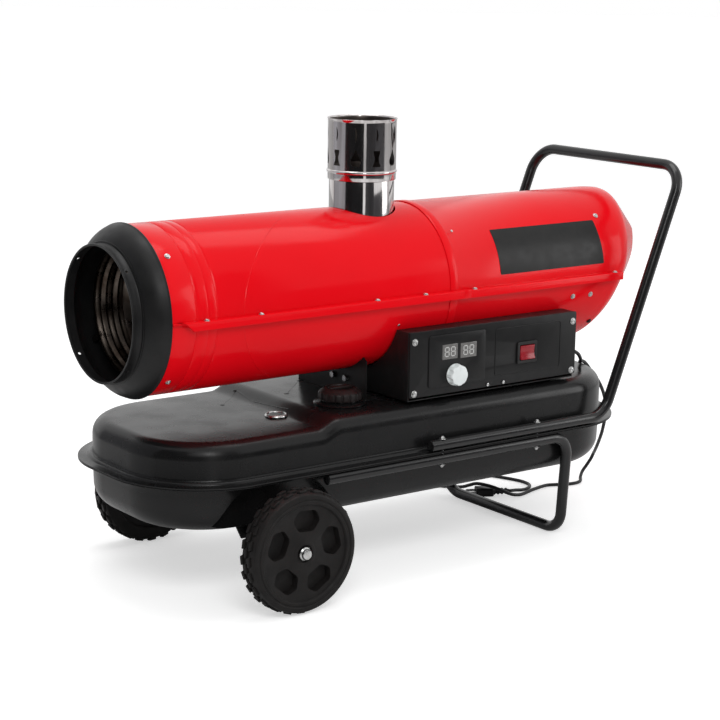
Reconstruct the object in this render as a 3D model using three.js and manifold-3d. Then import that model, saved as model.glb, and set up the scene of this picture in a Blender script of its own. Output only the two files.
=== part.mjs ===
// Indirect oil fired air heater with flue, on a wheeled fuel tank.
// Millimetres, +Z up. X runs along the barrel, the air outlet is at -X and the push handle at +X.
// The control panel faces -Y. The origin is on the floor, under the middle of the heater.
import * as THREE from 'three';
import { mergeVertices } from 'three/addons/utils/BufferGeometryUtils.js';
import Module from 'manifold-3d';

const wasm = await Module();
wasm.setup();

// ---------------------------------------------------------------- driving dimensions

const GAP = 0.3;                 // clearance between pieces that touch
const SHEET = 1.5;               // body sheet metal
const TUBE_R = 9.5;              // handle and leg tube, 19 mm outside

const AXLE_X = -319;
const WHEEL_R = 100;
const WHEEL_OUTER_Y = 252;
const WHEEL_WIDTH = 38;
const AXLE_R = 6;

const TANK_MID_X = -34.5;
const TANK_CORE_X = 340.5;       // half length of the straight core of the tank outline
const TANK_CORE_Y = 37;
const FLANGE_R = 163;            // corner radius of the flange, 200 mm half width in all
const WALL_R = 139;              // corner radius of the tank wall
const TANK_BOTTOM_Z = 126;
const FLANGE_Z = 204;            // underside of the folded flange
const TANK_TOP_Z = 271;
const PLATEAU_Z = 285;           // raised rear part of the tank top
const PLATEAU_X = -212;
const TANK_SHEET = 2;

const AXIS_Z = 461;              // height of the barrel axis
const BARREL_R = 136.5;
const SHELL_FRONT_X = -484;
const SHELL_JOINT_X = 59;
const SHOULDER_X = 416;          // where the rear hood starts to close
const HOOD_LENGTH = 105;
const HOOD_DROP = 112;
const HOOD_END_ANGLE = 61;       // degrees of the hood's quarter ellipse that are there
const SEAM_FRONT_X = -450;
const SEAM_REAR_X = 440;
const SEAM_OUT_Y = 148;
const SEAM_LIP = 12;

const NOZZLE_FRONT_X = -541.5;
const COLLAR_R = 110;
const NOZZLE_R = 139.5;

const FLUE_X = -35.5;
const FLUE_R = 55;
const COWL_R = 57.5;
const COWL_BOTTOM_Z = 643;
const FLUE_TOP_Z = 745;
const COWL_SLOTS = 11;

const HANDLE_Y = 193;
const HANDLE_START_X = -29;
const HANDLE_FOOT_X = 361;       // where the handle tube leaves the flange
const HANDLE_TOP_X = 532;
const HANDLE_TOP_Z = 650;
const LEG_Y = 192;
const FOOT_Y = 157;               // the legs lean inwards to the foot bar
const LEG_START_X = -238;
const LEG_BEND_X = 279;
const LEG_FOOT_X = 300;
const BOLT_XS = [-4, 205];

const BOX_X = [-54, 312];        // control box
const BOX_Y = [-164, 150];
const BOX_Z = [PLATEAU_Z + 5, 407];

const FAN_X = 330;
const FAN_R = 112;

const CORD_R = 3.25;
const COIL_X = 300;
const COIL_Y = 280;
const COIL_MID_R = 36;

const GLAND = { x: BOX_X[1], y: -108, z: 322 };
const PICKUP = { x: 60, y: 95, radius: 4 };     // fuel pick-up pipe, under the fuel filter

// ---------------------------------------------------------------- finishes

function finish(colour, roughness, metalness) {
  return new THREE.MeshStandardMaterial({ color: colour, roughness, metalness });
}

const redPaint = finish(0xd8141c, 0.28, 0.0);
const blackPaint = finish(0x1d1e20, 0.45, 0.1);
const satinBlack = finish(0x3a3b3d, 0.5, 0.2);
const stainless = finish(0xc9cbcf, 0.12, 1.0);
const heatTinted = finish(0x8a7a68, 0.35, 0.9);
const zinc = finish(0xc4c6c8, 0.3, 0.9);
const tyreBlack = finish(0x2c2a29, 0.75, 0.0);
const plasticBlack = finish(0x232324, 0.5, 0.0);
const plasticGrey = finish(0xc2c6c8, 0.5, 0.0);
const switchRed = finish(0xc42030, 0.3, 0.0);
const displayGrey = finish(0x9a9a98, 0.4, 0.0);
const motorGrey = finish(0x6b7075, 0.5, 0.6);
const boardGreen = finish(0x1f5a3a, 0.5, 0.0);
const brass = finish(0xb08d45, 0.35, 0.9);
const aluminium = finish(0xa9acb0, 0.4, 0.9);

// ---------------------------------------------------------------- solids

function toSolid(geometry) {
  const bare = geometry.clone();
  bare.deleteAttribute('normal');
  bare.deleteAttribute('uv');
  const merged = mergeVertices(bare, 1e-4);
  const mesh = new wasm.Mesh({
    numProp: 3,
    vertProperties: new Float32Array(merged.attributes.position.array),
    triVerts: new Uint32Array(merged.index.array),
  });
  mesh.merge();
  return new wasm.Manifold(mesh);
}

function toGeometry(solid) {
  const mesh = solid.getMesh();
  const geometry = new THREE.BufferGeometry();
  geometry.setAttribute('position', new THREE.BufferAttribute(mesh.vertProperties, 3));
  geometry.setIndex(new THREE.BufferAttribute(mesh.triVerts, 1));
  return geometry;
}

// A geometry turned inside out gets its faces turned round.
function faceOut(geometry) {
  const indexed = geometry.index ? geometry : mergeVertices(geometry);
  const position = indexed.attributes.position;
  const index = indexed.index;
  const a = new THREE.Vector3();
  const b = new THREE.Vector3();
  const c = new THREE.Vector3();
  let volume = 0;
  for (let i = 0; i < index.count; i += 3) {
    a.fromBufferAttribute(position, index.getX(i));
    b.fromBufferAttribute(position, index.getX(i + 1));
    c.fromBufferAttribute(position, index.getX(i + 2));
    volume += a.dot(b.cross(c));
  }
  if (volume < 0) {
    for (let i = 0; i < index.count; i += 3) {
      const first = index.getX(i);
      index.setX(i, index.getX(i + 1));
      index.setX(i + 1, first);
    }
  }
  return indexed;
}

function join(first, ...others) {
  return others.reduce((sum, solid) => sum.add(solid), first);
}

function cut(first, ...others) {
  return others.reduce((rest, solid) => rest.subtract(solid), first);
}

function box(x0, x1, y0, y1, z0, z1) {
  const geometry = new THREE.BoxGeometry(x1 - x0, y1 - y0, z1 - z0);
  geometry.translate((x0 + x1) / 2, (y0 + y1) / 2, (z0 + z1) / 2);
  return toSolid(geometry);
}

const TURN = { x: [0, 0, -Math.PI / 2], y: [0, 0, 0], z: [Math.PI / 2, 0, 0] };

// A round bar along an axis, from its start point.
function rod(axis, x, y, z, radius, length, sides = 24, endRadius = radius) {
  const geometry = new THREE.CylinderGeometry(endRadius, radius, length, sides);
  geometry.translate(0, length / 2, 0);
  const turn = TURN[axis];
  geometry.rotateX(turn[0]);
  geometry.rotateZ(turn[2]);
  geometry.translate(x, y, z);
  return toSolid(geometry);
}

// A revolved piece: pairs of radius and distance along the axis. A closed ring repeats its first pair.
function revolve(axis, pairs, x, y, z, sides = 48) {
  const points = pairs.map(([radius, along]) => new THREE.Vector2(radius, along));
  const geometry = new THREE.LatheGeometry(points, sides);
  const turn = TURN[axis];
  geometry.rotateX(turn[0]);
  geometry.rotateZ(turn[2]);
  geometry.translate(x, y, z);
  geometry.deleteAttribute('normal');
  geometry.deleteAttribute('uv');
  return toSolid(faceOut(mergeVertices(geometry, 1e-4)));
}

function ring(outer, inner, from, to) {
  return [[inner, from], [outer, from], [outer, to], [inner, to], [inner, from]];
}

// A flat shape pushed along an axis. The shape is drawn in XY for z, XZ for y and YZ for x.
function extrude(axis, shape, from, to, curveSegments = 8) {
  const settings = { depth: to - from, bevelEnabled: false, curveSegments };
  const geometry = new THREE.ExtrudeGeometry(shape, settings);
  geometry.translate(0, 0, from);
  if (axis === 'y') {
    geometry.rotateX(Math.PI / 2);
    geometry.scale(1, -1, 1);
  }
  if (axis === 'x') {
    const toX = new THREE.Matrix4().set(0, 0, 1, 0, 1, 0, 0, 0, 0, 1, 0, 0, 0, 0, 0, 1);
    geometry.applyMatrix4(toX);
  }
  geometry.deleteAttribute('normal');
  geometry.deleteAttribute('uv');
  return toSolid(faceOut(mergeVertices(geometry, 1e-4)));
}

function polygon(points) {
  return new THREE.Shape(points.map(([u, v]) => new THREE.Vector2(u, v)));
}

function roundedRect(u0, u1, v0, v1, radius) {
  const shape = new THREE.Shape();
  shape.moveTo(u0 + radius, v0);
  shape.lineTo(u1 - radius, v0);
  shape.absarc(u1 - radius, v0 + radius, radius, -Math.PI / 2, 0);
  shape.lineTo(u1, v1 - radius);
  shape.absarc(u1 - radius, v1 - radius, radius, 0, Math.PI / 2);
  shape.lineTo(u0 + radius, v1);
  shape.absarc(u0 + radius, v1 - radius, radius, Math.PI / 2, Math.PI);
  shape.lineTo(u0, v0 + radius);
  shape.absarc(u0 + radius, v0 + radius, radius, Math.PI, Math.PI * 1.5);
  return shape;
}

// A path through given stations, one tube section at each of them.
class StationPath extends THREE.Curve {
  constructor(stations) {
    super();
    this.stations = stations;
  }

  getPoint(t, target = new THREE.Vector3()) {
    const place = Math.min(Math.max(t, 0), 1) * (this.stations.length - 1);
    const index = Math.min(Math.floor(place), this.stations.length - 2);
    return target.lerpVectors(this.stations[index], this.stations[index + 1], place - index);
  }

  getUtoTmapping(u) {
    return u;
  }

  getTangent(t, target = new THREE.Vector3()) {
    const last = this.stations.length - 1;
    const index = Math.round(Math.min(Math.max(t, 0), 1) * last);
    const back = this.stations[Math.max(index - 1, 0)];
    const here = this.stations[index];
    const ahead = this.stations[Math.min(index + 1, last)];
    const before = here.clone().sub(back).normalize();
    return target.subVectors(ahead, here).normalize().add(before).normalize();
  }
}

// Straight runs joined by bends of one radius.
function bentStations(corners, radius, bendSteps = 6) {
  const stations = [corners[0].clone()];
  for (let i = 1; i < corners.length - 1; i += 1) {
    const back = corners[i - 1].clone().sub(corners[i]).normalize();
    const ahead = corners[i + 1].clone().sub(corners[i]).normalize();
    const half = back.angleTo(ahead) / 2;
    const reach = radius / Math.tan(half);
    const centreLine = back.clone().add(ahead).normalize();
    const centre = corners[i].clone().addScaledVector(centreLine, radius / Math.sin(half));
    const start = corners[i].clone().addScaledVector(back, reach).sub(centre);
    const axis = new THREE.Vector3().crossVectors(back, ahead).negate().normalize();
    for (let k = 0; k <= bendSteps; k += 1) {
      const turned = start.clone().applyAxisAngle(axis, ((Math.PI - 2 * half) * k) / bendSteps);
      stations.push(turned.add(centre));
    }
  }
  stations.push(corners[corners.length - 1].clone());
  return stations;
}

function smoothStations(points, count) {
  const curve = new THREE.CatmullRomCurve3(points, false, 'centripetal');
  return curve.getSpacedPoints(count);
}

function tube(stations, radius, sides) {
  const section = new THREE.Shape();
  for (let k = 0; k < sides; k += 1) {
    const angle = (2 * Math.PI * k) / sides;
    const u = radius * Math.cos(angle);
    const v = radius * Math.sin(angle);
    if (k === 0) section.moveTo(u, v);
    else section.lineTo(u, v);
  }
  section.closePath();
  const settings = { steps: stations.length - 1, extrudePath: new StationPath(stations), bevelEnabled: false };
  const geometry = new THREE.ExtrudeGeometry(section, settings);
  geometry.deleteAttribute('normal');
  geometry.deleteAttribute('uv');
  return toSolid(faceOut(mergeVertices(geometry, 1e-4)));
}

const v3 = (x, y, z) => new THREE.Vector3(x, y, z);

// A revolved profile whose four quarters are pulled apart into a rounded rectangle.
// Pairs of corner radius and height, starting and ending on the middle of the tank.
function stretchedPressing(pairs, coreX, coreY, midX, sides = 24) {
  const points = pairs.map(([radius, height]) => new THREE.Vector2(radius, height));
  const start = Math.PI / sides;
  const geometry = new THREE.LatheGeometry(points, sides, start, 2 * Math.PI);
  geometry.rotateX(Math.PI / 2);
  const position = geometry.attributes.position;
  for (let i = 0; i < position.count; i += 1) {
    const x = position.getX(i);
    const y = position.getY(i);
    if (Math.hypot(x, y) > 1e-6) {
      position.setX(i, x + Math.sign(x) * coreX);
      position.setY(i, y + Math.sign(y) * coreY);
    }
  }
  geometry.translate(midX, 0, 0);
  geometry.deleteAttribute('normal');
  geometry.deleteAttribute('uv');
  return toSolid(faceOut(mergeVertices(geometry, 1e-4)));
}

// Points of a quarter round, from one angle to another in degrees.
function arc(cu, cv, radius, from, to, steps) {
  const points = [];
  for (let k = 0; k <= steps; k += 1) {
    const angle = ((from + ((to - from) * k) / steps) * Math.PI) / 180;
    points.push([cu + radius * Math.cos(angle), cv + radius * Math.sin(angle)]);
  }
  return points;
}

// ---------------------------------------------------------------- assembly

const heater = new THREE.Group();
heater.name = 'forced_air_heater';

function part(name, solid, material) {
  const mesh = new THREE.Mesh(toGeometry(solid), material);
  mesh.name = name;
  heater.add(mesh);
}

// ---------------------------------------------------------------- fuel tank

function tankUpper() {
  const lip = FLANGE_Z + TANK_SHEET + GAP;
  const wallProfile = (radius, top, fillet, base) => [
    [0, base],
    [radius, base],
    [radius, top - fillet],
    ...arc(radius - fillet, top - fillet, fillet, 22.5, 90, 3),
    [0, top],
  ];
  const ledge = (radius, height) => [[0, lip], [radius, lip], [radius, lip + height], [0, lip + height]];
  const body = (inset, drop, base) => {
    const radius = WALL_R - inset;
    const front = stretchedPressing(
      wallProfile(radius, TANK_TOP_Z - drop, 26, base), TANK_CORE_X, TANK_CORE_Y, TANK_MID_X);
    const rear = stretchedPressing(
      wallProfile(radius, PLATEAU_Z - drop, 26, base), TANK_CORE_X, TANK_CORE_Y, TANK_MID_X);
    const slope = polygon([[PLATEAU_X + inset, base - 1], [600, base - 1], [600, PLATEAU_Z + 1],
      [PLATEAU_X + 16 + inset, PLATEAU_Z + 1], [PLATEAU_X + inset, TANK_TOP_Z - 4]]);
    return join(front, rear.intersect(extrude('y', slope, -260, 260)));
  };
  const flange = stretchedPressing(ledge(FLANGE_R, 2), TANK_CORE_X, TANK_CORE_Y, TANK_MID_X);
  const step = stretchedPressing(ledge(FLANGE_R - 17, 6), TANK_CORE_X, TANK_CORE_Y, TANK_MID_X);
  const hollow = body(TANK_SHEET, TANK_SHEET, lip - 1);
  const neckHole = rod('z', -137, -86, TANK_TOP_Z - 20, 24, 60, 24);
  const gaugeHole = rod('z', -245, -57, TANK_TOP_Z - 20, 13, 60, 16);
  const pickupHole = rod('z', PICKUP.x, PICKUP.y, TANK_TOP_Z - 20, PICKUP.radius + GAP, 60, 12);
  return cut(join(body(0, 0, lip), flange, step), hollow, neckHole, gaugeHole, pickupHole);
}

function tankLower() {
  const top = FLANGE_Z + TANK_SHEET;
  const pan = (inset, lift, height) => stretchedPressing([
    [0, TANK_BOTTOM_Z + lift],
    [WALL_R - 36 - inset, TANK_BOTTOM_Z + lift],
    ...arc(WALL_R - 36 - inset, TANK_BOTTOM_Z + 34 + lift, 34, -70, -10, 3),
    [WALL_R - inset, height - 20],
    [WALL_R - inset, height],
    [0, height],
  ], TANK_CORE_X, TANK_CORE_Y, TANK_MID_X);
  const rim = stretchedPressing(
    [[0, FLANGE_Z], [FLANGE_R, FLANGE_Z], [FLANGE_R, top], [0, top]],
    TANK_CORE_X, TANK_CORE_Y, TANK_MID_X);
  let shell = join(pan(0, 0, top), rim);
  let hollow = pan(TANK_SHEET, TANK_SHEET, top + 1);
  for (const side of [-1, 1]) {
    const inner = side < 0 ? -210 : 150;
    const wheelRoom = rod('y', AXLE_X, inner, WHEEL_R, 116, 60, 28)
      .intersect(box(AXLE_X - 150, AXLE_X + 150, -300, 300, 0, FLANGE_Z - GAP));
    const wall = rod('y', AXLE_X, side < 0 ? -210 : 148, WHEEL_R, 118, 62, 28)
      .intersect(box(AXLE_X - 150, AXLE_X + 150, -300, 300, 0, FLANGE_Z + 1));
    shell = cut(shell, wheelRoom);
    hollow = cut(hollow, wall);
  }
  const drainHole = rod('z', 120, 0, TANK_BOTTOM_Z - 5, 7 + GAP, 20, 20);
  return cut(shell, hollow, drainHole);
}

part('tank_upper', tankUpper(), blackPaint);
part('tank_lower', tankLower(), blackPaint);

const CAP_X = -137;
const CAP_Y = -86;

function fillerNeck() {
  return revolve('z', [
    [21, TANK_TOP_Z - 8], [23.5, TANK_TOP_Z - 8], [23.5, PLATEAU_Z + GAP], [44, PLATEAU_Z + GAP],
    [44, PLATEAU_Z + 3], [31, PLATEAU_Z + 5], [31, PLATEAU_Z + 8], [21, PLATEAU_Z + 8],
    [21, TANK_TOP_Z - 8],
  ], CAP_X, CAP_Y, 0, 24);
}

function fillerCap() {
  const base = PLATEAU_Z + 8 + GAP;
  const body = revolve('z', [
    [0, base], [36.5, base], [36.5, base + 11], [33, base + 14], [29, base + 18],
    [24, base + 19], [24, base + 16], [0, base + 16],
  ], CAP_X, CAP_Y, 0, 32);
  const grip = box(CAP_X - 22, CAP_X + 22, CAP_Y - 4.5, CAP_Y + 4.5, base + 15, base + 21);
  const scallops = [];
  for (let k = 0; k < 12; k += 1) {
    const angle = (2 * Math.PI * k) / 12;
    scallops.push(rod('z', CAP_X + 39.5 * Math.cos(angle), CAP_Y + 39.5 * Math.sin(angle), base - 1, 5.5, 26, 8));
  }
  return cut(join(body, grip), ...scallops);
}

part('filler_neck', fillerNeck(), blackPaint);
part('filler_cap', fillerCap(), plasticBlack);

function fuelGauge() {
  const x = -245;
  const y = -57;
  const bezel = revolve('z', [
    [0, TANK_TOP_Z - 14], [11, TANK_TOP_Z - 14], [11, TANK_TOP_Z + GAP], [19, TANK_TOP_Z + GAP],
    [19, TANK_TOP_Z + 3], [17, TANK_TOP_Z + 5], [15, TANK_TOP_Z + 3.5], [0, TANK_TOP_Z + 3.5],
  ], x, y, 0, 24);
  const stem = rod('z', x, y, TANK_BOTTOM_Z + 20, 3, TANK_TOP_Z - TANK_BOTTOM_Z - 30, 12);
  return join(bezel, stem);
}

part('fuel_gauge', fuelGauge(), zinc);

function drainPlug() {
  const hexagon = rod('z', 120, 0, TANK_BOTTOM_Z - 8, 12, 8 - GAP, 6);
  const thread = rod('z', 120, 0, TANK_BOTTOM_Z - 3, 7, 12, 20);
  return join(hexagon, thread);
}

part('drain_plug', drainPlug(), zinc);

// ---------------------------------------------------------------- handle, legs and clamp bolts

function clampHoles() {
  const holes = [];
  for (const x of BOLT_XS) {
    for (const side of [-1, 1]) {
      holes.push(rod('z', x, side * HANDLE_Y, FLANGE_Z - 40, 3.3, 80, 8));
    }
  }
  return holes;
}

const HANDLE_Z = FLANGE_Z + 2 * TANK_SHEET + 2 * GAP + TUBE_R;
const LEG_Z = FLANGE_Z - GAP - TUBE_R;

function handleTube() {
  const corners = [];
  for (const side of [-1, 1]) {
    const half = [
      v3(HANDLE_START_X, side * HANDLE_Y, HANDLE_Z),
      v3(HANDLE_FOOT_X, side * HANDLE_Y, HANDLE_Z),
      v3(HANDLE_TOP_X, side * HANDLE_Y, HANDLE_TOP_Z),
    ];
    if (side < 0) corners.push(...half);
    else corners.push(...half.reverse());
  }
  return cut(tube(bentStations(corners, 48, 5), TUBE_R, 10), ...clampHoles());
}

function legFrame() {
  const corners = [];
  for (const side of [-1, 1]) {
    const half = [
      v3(LEG_START_X, side * LEG_Y, LEG_Z),
      v3(LEG_BEND_X, side * LEG_Y, LEG_Z),
      v3(LEG_FOOT_X, side * FOOT_Y, TUBE_R),
    ];
    if (side < 0) corners.push(...half);
    else corners.push(...half.reverse());
  }
  return cut(tube(bentStations(corners, 42, 5), TUBE_R, 10), ...clampHoles());
}

function withFlangeHoles(name) {
  const mesh = heater.getObjectByName(name);
  mesh.geometry = toGeometry(cut(toSolid(mesh.geometry), ...clampHoles()));
}

part('handle_tube', handleTube(), blackPaint);
part('leg_frame', legFrame(), blackPaint);
withFlangeHoles('tank_upper');
withFlangeHoles('tank_lower');

function clampBolt(x, y) {
  const headZ = HANDLE_Z + TUBE_R + GAP;
  const nutZ = LEG_Z - TUBE_R - GAP;
  const shank = rod('z', x, y, nutZ - 8, 2.9, headZ - nutZ + 9, 6);
  const head = rod('z', x, y, headZ, 5.5, 4.5, 6);
  const nut = rod('z', x, y, nutZ - 5, 5.5, 5, 6);
  return join(shank, head, nut);
}

let boltNumber = 0;
for (const x of BOLT_XS) {
  for (const side of [-1, 1]) {
    boltNumber += 1;
    part(`clamp_bolt_${boltNumber}`, clampBolt(x, side * HANDLE_Y), zinc);
  }
}

// ---------------------------------------------------------------- wheels

function axleBracket(side) {
  // A folded channel hangs from the tank floor and holds the axle.
  const middle = side * 95;
  const shape = polygon([[AXLE_X - 36, TANK_BOTTOM_Z - GAP], [AXLE_X + 36, TANK_BOTTOM_Z - GAP],
    [AXLE_X + 18, WHEEL_R - 12], [AXLE_X - 18, WHEEL_R - 12]]);
  const plate = extrude('y', shape, middle - 1.5, middle + 1.5);
  const foot = box(AXLE_X - 36, AXLE_X + 36, middle - 16, middle + 16, TANK_BOTTOM_Z - 3.3, TANK_BOTTOM_Z - GAP);
  const sleeve = rod('y', AXLE_X, middle - 8, WHEEL_R, AXLE_R + 4, 16, 12);
  return cut(join(plate, foot, sleeve), rod('y', AXLE_X, middle - 30, WHEEL_R, AXLE_R + 2 * GAP, 60, 12));
}

part('axle', rod('y', AXLE_X, -WHEEL_OUTER_Y - 3, WHEEL_R, AXLE_R, 2 * WHEEL_OUTER_Y + 6, 20), zinc);
part('axle_bracket_near', axleBracket(-1), blackPaint);
part('axle_bracket_far', axleBracket(1), blackPaint);

function wheel(side) {
  const inner = WHEEL_OUTER_Y - WHEEL_WIDTH;
  const profile = [
    [AXLE_R + GAP, inner - 5], [17, inner - 5], [17, inner + 7], [74, inner + 7], [74, inner],
    [92, inner], [96, inner + 4], [96, WHEEL_OUTER_Y - 4], [92, WHEEL_OUTER_Y],
    [79, WHEEL_OUTER_Y], [77, WHEEL_OUTER_Y - 3], [AXLE_R + GAP, WHEEL_OUTER_Y - 3],
    [AXLE_R + GAP, inner - 5],
  ];
  let body = revolve('y', profile, 0, 0, 0, 30);
  const pocket = polygon([[-15, 36], [15, 36], [26, 52], [17, 68], [-17, 68], [-26, 52]]);
  for (let k = 0; k < 5; k += 1) {
    const tool = extrude('y', pocket, WHEEL_OUTER_Y - 19, WHEEL_OUTER_Y + 5).rotate([0, 72 * k + 6, 0]);
    body = cut(body, tool);
  }
  // Blocky tread: two rows of lugs, the second half a pitch further round.
  const lugs = [];
  const count = 15;
  for (let row = 0; row < 2; row += 1) {
    const from = inner + 4.5 + row * 15;
    for (let k = 0; k < count; k += 1) {
      const lug = polygon([[-10, from + 4], [6, from], [10, from + 10], [-6, from + 14]]);
      const solid = extrude('z', lug, 94, WHEEL_R - 0.4);
      lugs.push(solid.rotate([0, (360 * (k + row / 2)) / count, 0]));
    }
  }
  body = join(body, ...lugs);
  const turned = side < 0 ? body.rotate([0, 0, 180]) : body;
  return turned.translate([AXLE_X, 0, WHEEL_R]);
}

function pushCap(side) {
  const from = WHEEL_OUTER_Y - 3 + GAP;
  const cap = revolve('y', [
    [AXLE_R + GAP, from], [10.5, from], [10.5, from + 1.5], [8.5, from + 3.5], [8.5, from + 6.5],
    [0, from + 8], [0, from + 6.4], [AXLE_R + GAP, from + 6.4], [AXLE_R + GAP, from],
  ], 0, 0, 0, 16);
  const turned = side < 0 ? cap.rotate([0, 0, 180]) : cap;
  return turned.translate([AXLE_X, 0, WHEEL_R]);
}

part('wheel_near', wheel(-1), tyreBlack);
part('wheel_far', wheel(1), tyreBlack);
part('push_cap_near', pushCap(-1), zinc);
part('push_cap_far', pushCap(1), zinc);

// ---------------------------------------------------------------- barrel shells

const lean = (z) => (z > 0 ? 0.4 : 0.25);

// The wall of the rear hood: a cylinder that closes along a quarter ellipse and leans backwards at the top.
function rearWall(outer, inner, from) {
  const edge = (radius, back) => {
    const points = [];
    for (let k = 0; k <= 6; k += 1) {
      const angle = ((HOOD_END_ANGLE * k) / 6) * (Math.PI / 180);
      points.push([radius - (HOOD_DROP - back) * (1 - Math.cos(angle)),
        SHOULDER_X + (HOOD_LENGTH - back) * Math.sin(angle)]);
    }
    return points;
  };
  const outerEdge = edge(outer, 0);
  const innerEdge = edge(inner, outer - inner).reverse();
  const lap = outer + SHEET + GAP;
  const profile = [[lap, from - 7], [lap, from + 9], [outer, from + 10], ...outerEdge, ...innerEdge,
    [inner, from], [outer + GAP, from], [outer + GAP, from - 7], [lap, from - 7]];
  const points = profile.map(([radius, along]) => new THREE.Vector2(radius, along));
  const geometry = new THREE.LatheGeometry(points, 40);
  geometry.rotateZ(-Math.PI / 2);
  const position = geometry.attributes.position;
  for (let i = 0; i < position.count; i += 1) {
    const x = position.getX(i);
    const z = position.getZ(i);
    const share = THREE.MathUtils.smoothstep(x, SHOULDER_X - 30, SHOULDER_X + 40);
    position.setX(i, x + share * lean(z) * z);
  }
  geometry.translate(0, 0, AXIS_Z);
  geometry.deleteAttribute('normal');
  geometry.deleteAttribute('uv');
  return toSolid(faceOut(mergeVertices(geometry, 1e-4)));
}

function halfSpace(upper) {
  return upper
    ? box(-700, 700, -300, 300, AXIS_Z + GAP / 2, AXIS_Z + 300)
    : box(-700, 700, -300, 300, AXIS_Z - 300, AXIS_Z - GAP / 2);
}

// Out-turned flange of a half shell with a lip that is folded down over the lower one.
function seamFlange(from, to, upper) {
  const pieces = [];
  for (const side of [-1, 1]) {
    const outerY = side * SEAM_OUT_Y;
    const insetY = side * (BARREL_R - 4);
    const low = AXIS_Z + (upper ? GAP / 2 : -SHEET - GAP / 2);
    const high = low + SHEET;
    const reach = upper ? outerY : side * (SEAM_OUT_Y - SHEET - GAP);
    const plate = polygon([[from, insetY], [from + 10, reach], [to, reach], [to, insetY]]);
    pieces.push(extrude('z', plate, low, high));
    if (upper) {
      const lip = polygon([[from + 10, high], [to, high], [to, high - SEAM_LIP], [from + 18, high - SEAM_LIP]]);
      pieces.push(extrude('y', lip, Math.min(outerY, outerY - side * SHEET), Math.max(outerY, outerY - side * SHEET)));
    }
  }
  return join(...pieces);
}

const hosePlace = rod('z', 210, 0, AXIS_Z - 150, 6, 40, 12);
const innerRoom = rod('x', -600, 0, AXIS_Z, BARREL_R - SHEET, 1400, 40);
const flueHole = rod('z', FLUE_X, 0, AXIS_Z + 60, FLUE_R + 3, 120, 40);

function frontShell(upper) {
  const beads = [-445, -423.5, -407];
  const profile = [[BARREL_R - SHEET, SHELL_FRONT_X], [BARREL_R, SHELL_FRONT_X]];
  for (const x of beads) {
    profile.push([BARREL_R, x - 3], [BARREL_R - 0.9, x], [BARREL_R, x + 3]);
  }
  profile.push([BARREL_R, SHELL_JOINT_X - GAP], [BARREL_R - SHEET, SHELL_JOINT_X - GAP]);
  profile.push([BARREL_R - SHEET, SHELL_FRONT_X]);
  const wall = revolve('x', profile, 0, 0, AXIS_Z, 40).intersect(halfSpace(upper));
  const flange = cut(seamFlange(SEAM_FRONT_X, SHELL_JOINT_X + 17, upper), innerRoom);
  const whole = join(wall, flange);
  return upper ? cut(whole, flueHole) : whole;
}

function rearShell(upper) {
  const wall = rearWall(BARREL_R, BARREL_R - SHEET, SHELL_JOINT_X).intersect(halfSpace(upper));
  const flange = cut(seamFlange(SHELL_JOINT_X + 17 + 0.8, SEAM_REAR_X, upper), innerRoom);
  // The lap stops short of the front shell's seam flange.
  const lapRoom = [-1, 1].map((side) => box(SHELL_JOINT_X - 20, SHELL_JOINT_X + 17.4,
    Math.min(side * 130, side * 180), Math.max(side * 130, side * 180),
    AXIS_Z - 15, AXIS_Z + 3));
  const whole = join(cut(wall, ...lapRoom), flange);
  return upper ? whole : cut(whole, hosePlace);
}

part('shell_front_upper', frontShell(true), redPaint);
part('shell_front_lower', frontShell(false), redPaint);
part('shell_rear_upper', rearShell(true), redPaint);
part('shell_rear_lower', rearShell(false), redPaint);

// ---------------------------------------------------------------- air outlet

// The rear edge is a slot that takes the front edge of the shells.
function nozzle() {
  const front = NOZZLE_FRONT_X;
  const sleeveR = BARREL_R - SHEET - GAP;
  const profile = [
    [COLLAR_R, front], [COLLAR_R, front + 18], [121, front + 25], [130, front + 33], [136, front + 43],
    [NOZZLE_R, front + 54], [NOZZLE_R, front + 62], [NOZZLE_R - 2.3, front + 62],
    [NOZZLE_R - 2.3, SHELL_FRONT_X - GAP], [sleeveR, SHELL_FRONT_X - GAP], [sleeveR, front + 80],
    [sleeveR - 2, front + 80], [sleeveR - 2, front + 49], [119, front + 27], [COLLAR_R - 2, front + 18],
    [COLLAR_R - 6, front + 16], [COLLAR_R - 6, front], [COLLAR_R, front],
  ];
  const holes = [];
  for (let k = 0; k < 4; k += 1) {
    holes.push(rod('z', 0, 0, 90, 2.2, 40, 8).rotate([90 * k + 45, 0, 0]).translate([front + 9, 0, AXIS_Z]));
  }
  return cut(revolve('x', profile, 0, 0, AXIS_Z, 40), ...holes);
}

part('nozzle', nozzle(), satinBlack);

// Stepped liner that leads the hot air from the heat exchanger to the collar.
function outletLiner() {
  const steps = 3;
  const startX = -492;
  const stepLength = 13;
  const outside = [];
  for (let k = 0; k < steps; k += 1) {
    const radius = 103 - 7 * k;
    outside.push([radius, startX + k * stepLength], [radius, startX + (k + 1) * stepLength]);
  }
  const inside = outside.map(([radius, along]) => [radius - 1.6, along - 1.6]).reverse();
  inside[inside.length - 1][1] = startX;
  inside[0][1] = outside[outside.length - 1][1];
  const body = revolve('x', [...outside, ...inside, outside[0]], 0, 0, AXIS_Z, 24);
  const support = [];
  for (let k = 0; k < 3; k += 1) {
    support.push(box(startX + 2, startX + 12, -5, 5, 102, BARREL_R - SHEET - 3.2).rotate([120 * k, 0, 0])
      .translate([0, 0, AXIS_Z]));
  }
  return join(body, ...support);
}

part('outlet_liner', outletLiner(), heatTinted);

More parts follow.
